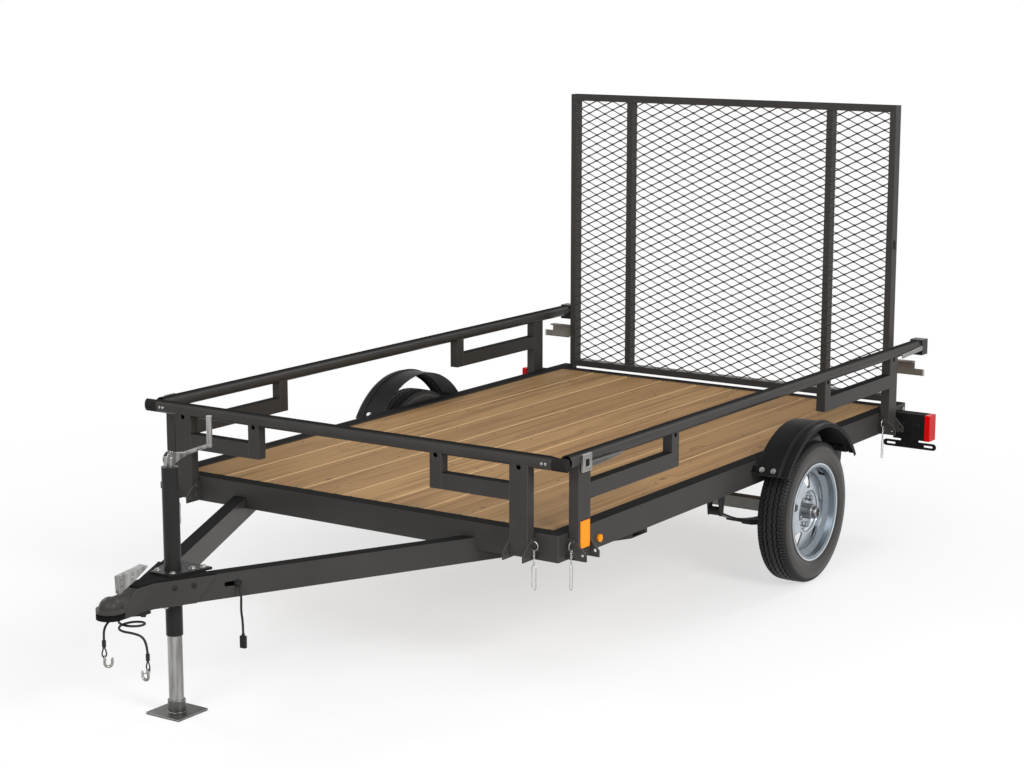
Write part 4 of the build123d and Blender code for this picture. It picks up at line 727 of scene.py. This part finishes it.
full_profile = [(-x, radius, kind) for x, radius, kind in reversed(half_profile[1:])] + half_profile
for side, way in side_ways:
    tread = bmesh.new()
    rings = []
    for pitch in range(tread_pitches):
        for share, notch, swing in notch_steps:
            turn = 2 * math.pi * (pitch + share) / tread_pitches
            ring = []
            for x, radius, kind in full_profile:
                in_tread = max(0.0, 1.0 - max(0.0, abs(x) - 34.6) / 12.0)
                shifted_x = x + in_tread * zigzag_reach * (2.0 * swing - 1.0)
                lowered = radius - (notch_depth * notch if kind == "notched" else 0.0)
                ring.append(tread.verts.new(round_axle(way * wheel_x + shifted_x, lowered, turn)))
            rings.append(ring)
    join_rings(tread, rings, closed=True)
    joined_piece(side + "_road_tyre", tread, rubber, side + "_wheel", "tyre_rubber", side + "_tyre")

# The rims are pressed steel in silver paint: a rolled barrel and a disc with five windows.
# A round lip is rolled on each edge, and a rubber valve stands in the barrel.
silver = Finish("silver_wheel_paint")
rim_reach = axle_reach(silver)
# The barrel is painted darker than the disc as painted shade inside it, and the rolled lips are painted
# bright as a painted highlight.
barrel_shade_share = silver.step(rim_reach, 0.152, 0.160)
lip_highlight_share = silver.step(rim_reach, 0.1930, 0.1950)
flakes = silver.cells(2400.0, output="Color")
silver_dust = silver.noise(22.0, 4.0)
silver_round = silver.rounded_normal(0.002)
disc_tone = silver.blend(silver_dust, (0.40, 0.435, 0.47), (0.58, 0.62, 0.66))
barrel_shade_tone = silver.blend(silver_dust, (0.17, 0.198, 0.224), (0.27, 0.305, 0.335))
rim_tone = silver.blend(barrel_shade_share, disc_tone, barrel_shade_tone)
rim_tone = silver.blend(lip_highlight_share, rim_tone, (0.60, 0.65, 0.70))
silver.wear(colour=rim_tone, metal=0.85, rough=0.22 + 0.12 * silver_dust + 0.05 * flakes,
            normal=silver_round)
dress(silver, "left_rim", "right_rim")
lip_steps = 120
valve_stations = [
    # distance from the middle, reach from the axle, the valve's radius
    (1008.0, 174.0, 0.0065), (1026.0, 170.0, 0.0052), (1028.0, 169.5, 0.0042), (1036.0, 168.0, 0.0042),
]
for side, way in side_ways:
    lips = bmesh.new()
    for offset, radius, thickness in ((57.5, 198.0, 0.0026), (-57.5, 198.0, 0.0026), (54.0, 184.5, 0.0016)):
        add_wire(lips, [round_axle(way * (wheel_x + offset), radius, 2 * math.pi * k / lip_steps)
                        for k in range(lip_steps)], thickness, 8, closed=True)
    joined_piece(side + "_rim_lips", lips, silver, side + "_wheel", "wheel_paint")
    valve = bmesh.new()
    add_wire(valve, [round_axle(way * x, radius, math.atan2(0.8, 0.6)) for x, radius, size in valve_stations],
             [size for x, radius, size in valve_stations], 12)
    joined_piece(side + "_valve", valve, moulded, side + "_wheel", "black_plastic")

# The hubs are turned steel with a grease cap, and five hexagonal nuts hold each wheel.
# The nuts and the cap are darker than the rim, and their turned edges are painted bright, a painted
# highlight.
hub_steel = Finish("hub_steel").clouded(
    (60.0, 4.0), (0.13, 0.135, 0.14), (0.36, 0.37, 0.38), rough=(0.24, 0.18),
    edge=(1.0, (0.75, 0.75, 0.75)), grain=((60.0, 4.0), 0.0003, 0.4), metal=0.9)


def add_turned(shape, outline, way, middle_y, middle_z, steps):
    """Turned body along the X axis from places across it and their radii."""
    turns = [2 * math.pi * number / steps for number in range(steps)]
    join_rings(shape, [[shape.verts.new(at(way * x, middle_y + radius * math.cos(turn),
                                           middle_z + radius * math.sin(turn))) for turn in turns]
                       for x, radius in outline])


hub_outline = [
    # distance from the middle, radius: hub, flange, boss, grease cap
    (924.0, 38.0), (926.0, 44.0), (982.0, 44.0), (982.0, 68.0), (984.0, 70.0), (991.0, 70.0),
    (991.0, 31.0), (1039.0, 31.0), (1041.0, 29.0), (1041.0, 24.0), (1056.0, 24.0), (1060.0, 21.5),
    (1061.0, 18.5), (1060.0, 17.0), (1056.0, 16.0),
]
nut_outline = [(997.0, 9.0), (1001.0, 12.0), (1013.5, 12.0), (1016.0, 10.0), (1017.0, 6.0)]
nut_count = 5
hub_steps = 64
centre_disc_steps = 32
nut_reach = 57.15
for side, way in side_ways:
    hub = bmesh.new()
    add_turned(hub, hub_outline, way, axle_y, axle_z, hub_steps)
    for number in range(nut_count):
        turn = math.radians(90.0 + (number + 0.5) * 360.0 / nut_count)
        add_turned(hub, nut_outline, way, axle_y + nut_reach * math.cos(turn),
                   axle_z + nut_reach * math.sin(turn), 6)
    joined_piece(side + "_hub_and_nuts", hub, hub_steel, side + "_wheel", "bare_steel", side + "_hub")
    # A black disc sits in the middle of each grease cap.
    centre_disc = bmesh.new()
    add_turned(centre_disc, [(1055.5, 14.0), (1057.5, 15.6), (1058.3, 13.0)], way, axle_y, axle_z, centre_disc_steps)
    joined_piece(side + "_dark_centre_disc", centre_disc, moulded, side + "_wheel", "black_plastic")

# The fenders are rolled steel strip with a bead, in gloss black.
# Road dust dulls the gloss a little, and the bead and the turned edge are painted lighter, a painted
# highlight.
dress(Finish("fender_gloss").clouded(
    (11.0, 4.0), (0.005, 0.005, 0.005), (0.012, 0.0115, 0.011), rough=(0.34, 0.12),
    edge=(0.6, (0.22, 0.22, 0.22)), radius=0.002, specular=0.06),
    "left_fender", "right_fender", "fender_arms")

# The tail lamps are ribbed red plastic, and the markers are amber plastic.
# Small prisms inside each lens break up the light.
lenses = [
    # name, deep colour, bright colour, nodes
    ("red_lens", (0.44, 0.0, 0.001), (0.60, 0.002, 0.003), ("tail_lamp_lenses",)),
    ("amber_lens", (0.80, 0.20, 0.003), (0.92, 0.32, 0.010),
     ("left_rail_reflector", "right_rail_reflector", "side_marker_lamps")),
]
for name, deep, bright, nodes in lenses:
    lens = Finish(name)
    prisms = lens.cells(260.0)
    prism_tone_and_glow = lens.blend(prisms, bright, deep)
    # Each lens and reflector also glows faintly in its own colour, a painted glow, though no lamp is lit.
    lens.wear(colour=prism_tone_and_glow, rough=0.26 + 0.1 * prisms, specular=0.10, glow=prism_tone_and_glow, glow_strength=0.10,
              normal=lens.bump(prisms, 0.0006, 0.5, lens.rounded_normal(0.003)))
    dress(lens, *nodes)

# Pull pins lock the tall posts upright, and each hangs a ring, a swivel and a hairpin loop.
# They are plain bright wire, and the pins' heads are part of the ears' piece.
pin_wire = Finish("pin_wire")
pin_marks = pin_wire.noise(120.0, 3.0)
pin_wire.wear(colour=pin_wire.blend(pin_marks, (0.34, 0.34, 0.33), (0.62, 0.62, 0.60)), metal=0.95,
              rough=0.22 + 0.15 * pin_marks)
front_rail_y = -83.0
pin_heads = [
    # name, place of the pin's head, direction across the ring
    ("front", at(826.0, front_rail_y, 505.0), Vector((1, 0, 0))),
    ("side_front", at(935.0, -14.0, 505.0), Vector((0, 1, 0))),
    ("side_rear", at(935.0, 2531.0, 505.0), Vector((0, 1, 0))),
]
link_steps = 12
for name, head, across in pin_heads:
    for side, way in side_ways:
        tip = Vector((way * head.x, head.y, head.z))
        along = Vector((way * across.x, across.y, 0))
        pin = bmesh.new()
        add_wire(pin, arc(tip + 0.010 * down, 0.0160, 0, 360, 28, along)[:-1], 0.0018, 8, closed=True)
        for number, drop in enumerate((0.031, 0.039, 0.047, 0.055)):
            sideways = along if number % 2 else Vector((along.y, along.x, 0))
            turns = [2 * math.pi * k / link_steps for k in range(link_steps)]
            link = [tip + drop * down + 0.0032 * math.cos(turn) * sideways - 0.0058 * math.sin(turn) * down
                    for turn in turns]
            add_wire(pin, link, 0.0015, 6, closed=True)
        add_wire(pin, [tip + drop * down for drop in (0.060, 0.062, 0.074, 0.076)],
                 [0.0022, 0.0038, 0.0038, 0.0022], 10)
        loop = arc(tip + 0.158 * down, 0.0085, 180, 360, 12, along)
        loop += arc(tip + 0.088 * down, 0.0085, 0, 60, 4, along)
        loop += [tip + 0.076 * down]
        loop += arc(tip + 0.088 * down, 0.0085, 120, 180, 4, along)[:-1]
        add_wire(pin, loop, 0.0020, 8, closed=True)
        joined_piece(side + "_" + name + "_pull_pin", pin, pin_wire, "chassis", "zinc")

# Bolts, screws and rivets hold the pieces together: zinc plated hex bolts with washers,
# dark screws through the planks, and small rivets. One tree of geometry nodes sets them out.


def open_tree(name, inputs):
    """A new tree of geometry nodes with a geometry in and out, and the sockets of its inputs."""
    tree = bpy.data.node_groups.new(name, "GeometryNodeTree")
    tree.interface.new_socket("Geometry", in_out="INPUT", socket_type="NodeSocketGeometry")
    for label, kind in inputs:
        tree.interface.new_socket(label, in_out="INPUT", socket_type="NodeSocket" + kind)
    tree.interface.new_socket("Geometry", in_out="OUTPUT", socket_type="NodeSocketGeometry")
    nodes = Nodes(tree)
    return nodes, nodes.node("NodeGroupInput").outputs


def spread_out(nodes, given, **inputs):
    """End a tree with a real copy of an instance at each point, in the given finish."""
    spread = nodes.node("GeometryNodeInstanceOnPoints", None, inputs)
    real = nodes.node("GeometryNodeRealizeInstances", None, {0: spread.outputs[0]})
    coat = nodes.node("GeometryNodeSetMaterial", None, {
        "Geometry": real.outputs[0], "Material": given["Finish"]})
    nodes.node("NodeGroupOutput", None, {0: coat.outputs[0]})
    return nodes.tree


def bolt_tree():
    """A head and its washer at each point, facing as the point's attribute says."""
    nodes, given = open_tree("bolt_heads", (
        ("Sides", "Int"), ("Radius", "Float"), ("Height", "Float"), ("Washer", "Float"),
        ("Finish", "Material")))
    head = nodes.node("GeometryNodeMeshCylinder", None, {
        "Vertices": given["Sides"], "Radius": given["Radius"], "Depth": given["Height"]})
    lift = nodes.node("ShaderNodeCombineXYZ", None, {"Z": 0.5 * Amount(nodes, given["Height"])})
    stand = nodes.node("GeometryNodeTransform", None, {
        "Geometry": head.outputs["Mesh"], "Translation": lift.outputs[0]})
    washer = nodes.node("GeometryNodeMeshCylinder", None, {
        "Vertices": 16, "Depth": 0.003, "Radius": given["Washer"]})
    both = nodes.node("GeometryNodeJoinGeometry", None, {0: stand.outputs[0]})
    nodes.feed(both.inputs[0], washer.outputs["Mesh"])
    facing = nodes.node("GeometryNodeInputNamedAttribute", {"data_type": "FLOAT_VECTOR"}, {"Name": "facing"})
    turn = nodes.node("FunctionNodeAlignRotationToVector", {"axis": "Z"}, {
        "Vector": facing.outputs["Attribute"]})
    return spread_out(nodes, given, Points=given["Geometry"], Instance=both.outputs[0],
                      Rotation=turn.outputs[0])


heads_tree = bolt_tree()


def by_nodes(name, mesh, tree, values, body):
    """Run a tree on a mesh and keep the result as one plain mesh on a body."""
    source = placed(name + "_source", mesh)
    modifier = source.modifiers.new("nodes", "NODES")
    modifier.node_group = tree
    for item in tree.interface.items_tree:
        if item.in_out == "INPUT" and item.name in values:
            modifier[item.identifier] = values[item.name]
    graph = bpy.context.evaluated_depsgraph_get()
    plain_mesh = bpy.data.meshes.new_from_object(source.evaluated_get(graph))
    bpy.data.objects.remove(source)
    made = placed(name, plain_mesh)
    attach(made, body)
    return made


def bolts(name, places, sides, radius, height, washer, finish, body, slot_name):
    """Heads of one kind at places that each face a direction."""
    mesh = bpy.data.meshes.new(name)
    mesh.from_pydata([place for place, facing in places], [], [])
    facings = mesh.attributes.new("facing", "FLOAT_VECTOR", "POINT")
    for element, (place, facing) in zip(facings.data, places):
        element.vector = facing
    return by_nodes(name, mesh, heads_tree, {
        "Sides": sides, "Radius": radius, "Height": height, "Washer": washer,
        "Finish": finish.material}, body)


def both_sides(places):
    """The same places and directions on the trailer's right too."""
    return places + [(Vector((-place.x, place.y, place.z)), (-facing[0], facing[1], facing[2]))
                     for place, facing in places]


# The rows of deck screws run over a member or a channel, two screws to a plank.
plank_count = 9
screw_rows = (21.0, 666.0, 1234.0, 1803.0, 2371.0, 2679.0)
screw_insets = (32.0, 152.0)
screw_level = 531.4
deck_screws = []
for plank in range(plank_count):
    plank_side = 1000.0 * (plank_pitch * plank - deck_edge)
    for row in screw_rows:
        for inset in screw_insets:
            deck_screws.append((at(plank_side + inset, row, screw_level), (0, 0, 1)))

fender_reach = 370.0
fender_bolts = []
for turned, across in ((143.5, 956.0), (143.5, 1006.0), (36.0, 985.0)):
    turn = math.radians(turned)
    fender_bolts.append((round_axle(across, fender_reach, turn), (0, math.cos(turn), math.sin(turn))))
jack_bolts = [(at(x, y, 496.0), (0, 0, 1)) for x, y in ((34.0, -1042.0), (48.0, -962.0), (62.0, -925.0))]
under_bolts = [(at(40.0, -1085.0, 394.0), (0, 0, -1))]

beam_lean = math.radians(26.5)
beam_out = (math.cos(beam_lean), -math.sin(beam_lean), 0)
beam_bolts = [(at(math.tan(beam_lean) * along + 5.6, along - 1185.0, 455.0), beam_out)
              for along in (118.0, 178.0)]
lamp_screws = [(at(x, 2700.0, z), (0, -1, 0)) for x, z in ((958.0, 470.0), (1008.0, 470.0), (1030.0, 468.0))]
stile_stops = [(at(847.0, 2789.0, z), (1, 0, 0)) for z in (1250.0, 1262.0, 1238.0)]
bolt_kinds = [
    # name, places, sides, radius, height, the washer's radius, finish, body, slot
    ("deck_screws", deck_screws, 10, 0.0045, 0.0012, 0.003, black_steel, "chassis", "black_steel"),
    ("plated_bolts", both_sides(fender_bolts + jack_bolts + under_bolts), 6, 0.0085, 0.0065, 0.0115,
     zinc, "chassis", "zinc"),
    ("black_bolts", both_sides(beam_bolts), 6, 0.007, 0.004, 0.0095, black_steel, "chassis", "black_steel"),
    ("lamp_screws", both_sides(lamp_screws), 10, 0.004, 0.002, 0.005, black_steel, "chassis", "black_steel"),
    ("stile_bolts", both_sides(stile_stops), 6, 0.007, 0.006, 0.009, black_steel, "ramp_gate", "black_steel"),
]
for kind in bolt_kinds:
    bolts(*kind)

# The front rail is one tube whose ends are crimped flat for the corner latches.
# Two rivets hold the pin inside each end, and the crimped lips are closed.
front_tube = bmesh.new()
tube_steps = 40
tube_radius = 25.4
front_rail_z = 797.0
tube_stations = [
    # distance from the middle, how flat the tube is, 0 for round and 1 for pressed
    (-968.0, 1.0), (-940.0, 1.0), (-925.0, 0.9), (-905.0, 0.35), (-890.0, 0.0), (-600.0, 0.0), (-300.0, 0.0),
    (0.0, 0.0), (300.0, 0.0), (600.0, 0.0), (890.0, 0.0), (905.0, 0.35), (925.0, 0.9), (940.0, 1.0),
    (968.0, 1.0),
]
tube_rings = []
for x, flat in tube_stations:
    thin = tube_radius * (1.0 - 0.42 * flat)
    tall = tube_radius * (1.0 - 0.06 * flat)
    set_back = tube_radius * 0.30 * flat
    turns = [2 * math.pi * number / tube_steps for number in range(tube_steps)]
    tube_rings.append([front_tube.verts.new(at(
        x, front_rail_y + thin * math.cos(turn) - set_back, front_rail_z + tall * math.sin(turn)))
        for turn in turns])
join_rings(front_tube, tube_rings)


def tube_shade_and_dark_ends(coat):
    """Painted shade on the tube's upper side, and its ends beyond the rivets darkened."""
    ends = coat.step(coat.axis("X").called("ABSOLUTE"), 0.906, 0.912)
    return tube_painted_shade(coat).called("MAXIMUM", 0.75 * ends)


joined_piece("crimped_front_tube", front_tube, powder_coat("front_tube_coat", tube_shade_and_dark_ends), "front_rail",
             "frame_paint", "front_rail_tube")
rivets = [(at(x, front_rail_y - tube_radius, front_rail_z), (0, -1, 0)) for x in (872.0, 888.0)]
bolts("tube_rivets", both_sides(rivets), 12, 0.0042, 0.0022, 0.005, zinc, "front_rail", "frame_paint")

# The gate is covered with expanded steel mesh: one sheet slit and stretched into diamonds.
# Its strands run in zigzags that meet the next row at every bond, and geometry nodes
# set the pairs of rows one above the other.
bond_run = 0.044
mesh_pitch = 0.041
bond_half = 0.005
bond_edge = 0.0022
strand_rise = 0.0030
strand_columns = 19
mesh_half = 0.838
mesh_rows = 32
first_row = at(0.0, 0.0, 549.0).z
strand_section = [
    # length from the deck's front edge, share of the strand's rise
    (2766.1, -0.6), (2768.9, -1.0), (2769.5, 0.6), (2766.7, 1.0),
]


def strand_tree():
    """Sets a pair of strands out upwards, one pitch above the other."""
    nodes, given = open_tree("mesh_strands", (
        ("Rows", "Int"), ("Pitch", "Float"), ("Lowest", "Float"), ("Finish", "Material")))
    step_up = nodes.node("ShaderNodeCombineXYZ", None, {"Z": given["Pitch"]})
    start = nodes.node("ShaderNodeCombineXYZ", None, {"Z": given["Lowest"]})
    ladder = nodes.node("GeometryNodeMeshLine", {"mode": "OFFSET"}, {
        "Count": given["Rows"], "Start Location": start.outputs[0], "Offset": step_up.outputs[0]})
    return spread_out(nodes, given, Points=ladder.outputs[0], Instance=given["Geometry"])


strand_pair = bmesh.new()
for row in range(2):
    rails = []
    for column in range(-strand_columns, strand_columns + 1):
        high = (column + row) % 2 == 0
        level_up = row * mesh_pitch / 2 + (mesh_pitch / 2 - bond_edge if high else bond_edge)
        for x in (column * bond_run - bond_half, column * bond_run + bond_half):
            if abs(x) <= mesh_half:
                rails.append([strand_pair.verts.new((x, at(0.0, y, 0.0).y, level_up + rise * strand_rise))
                              for y, rise in strand_section])
    join_rings(strand_pair, rails)
bmesh.ops.recalc_face_normals(strand_pair, faces=strand_pair.faces)
pair_mesh = bpy.data.meshes.new("strand_pair")
strand_pair.to_mesh(pair_mesh)
strand_pair.free()
gate_mesh = by_nodes("expanded_gate_mesh", pair_mesh, strand_tree(), {
    "Rows": mesh_rows, "Pitch": mesh_pitch, "Lowest": first_row, "Finish": frame_coat.material},
    "ramp_gate")
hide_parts("gate_mesh_rising", "gate_mesh_falling")
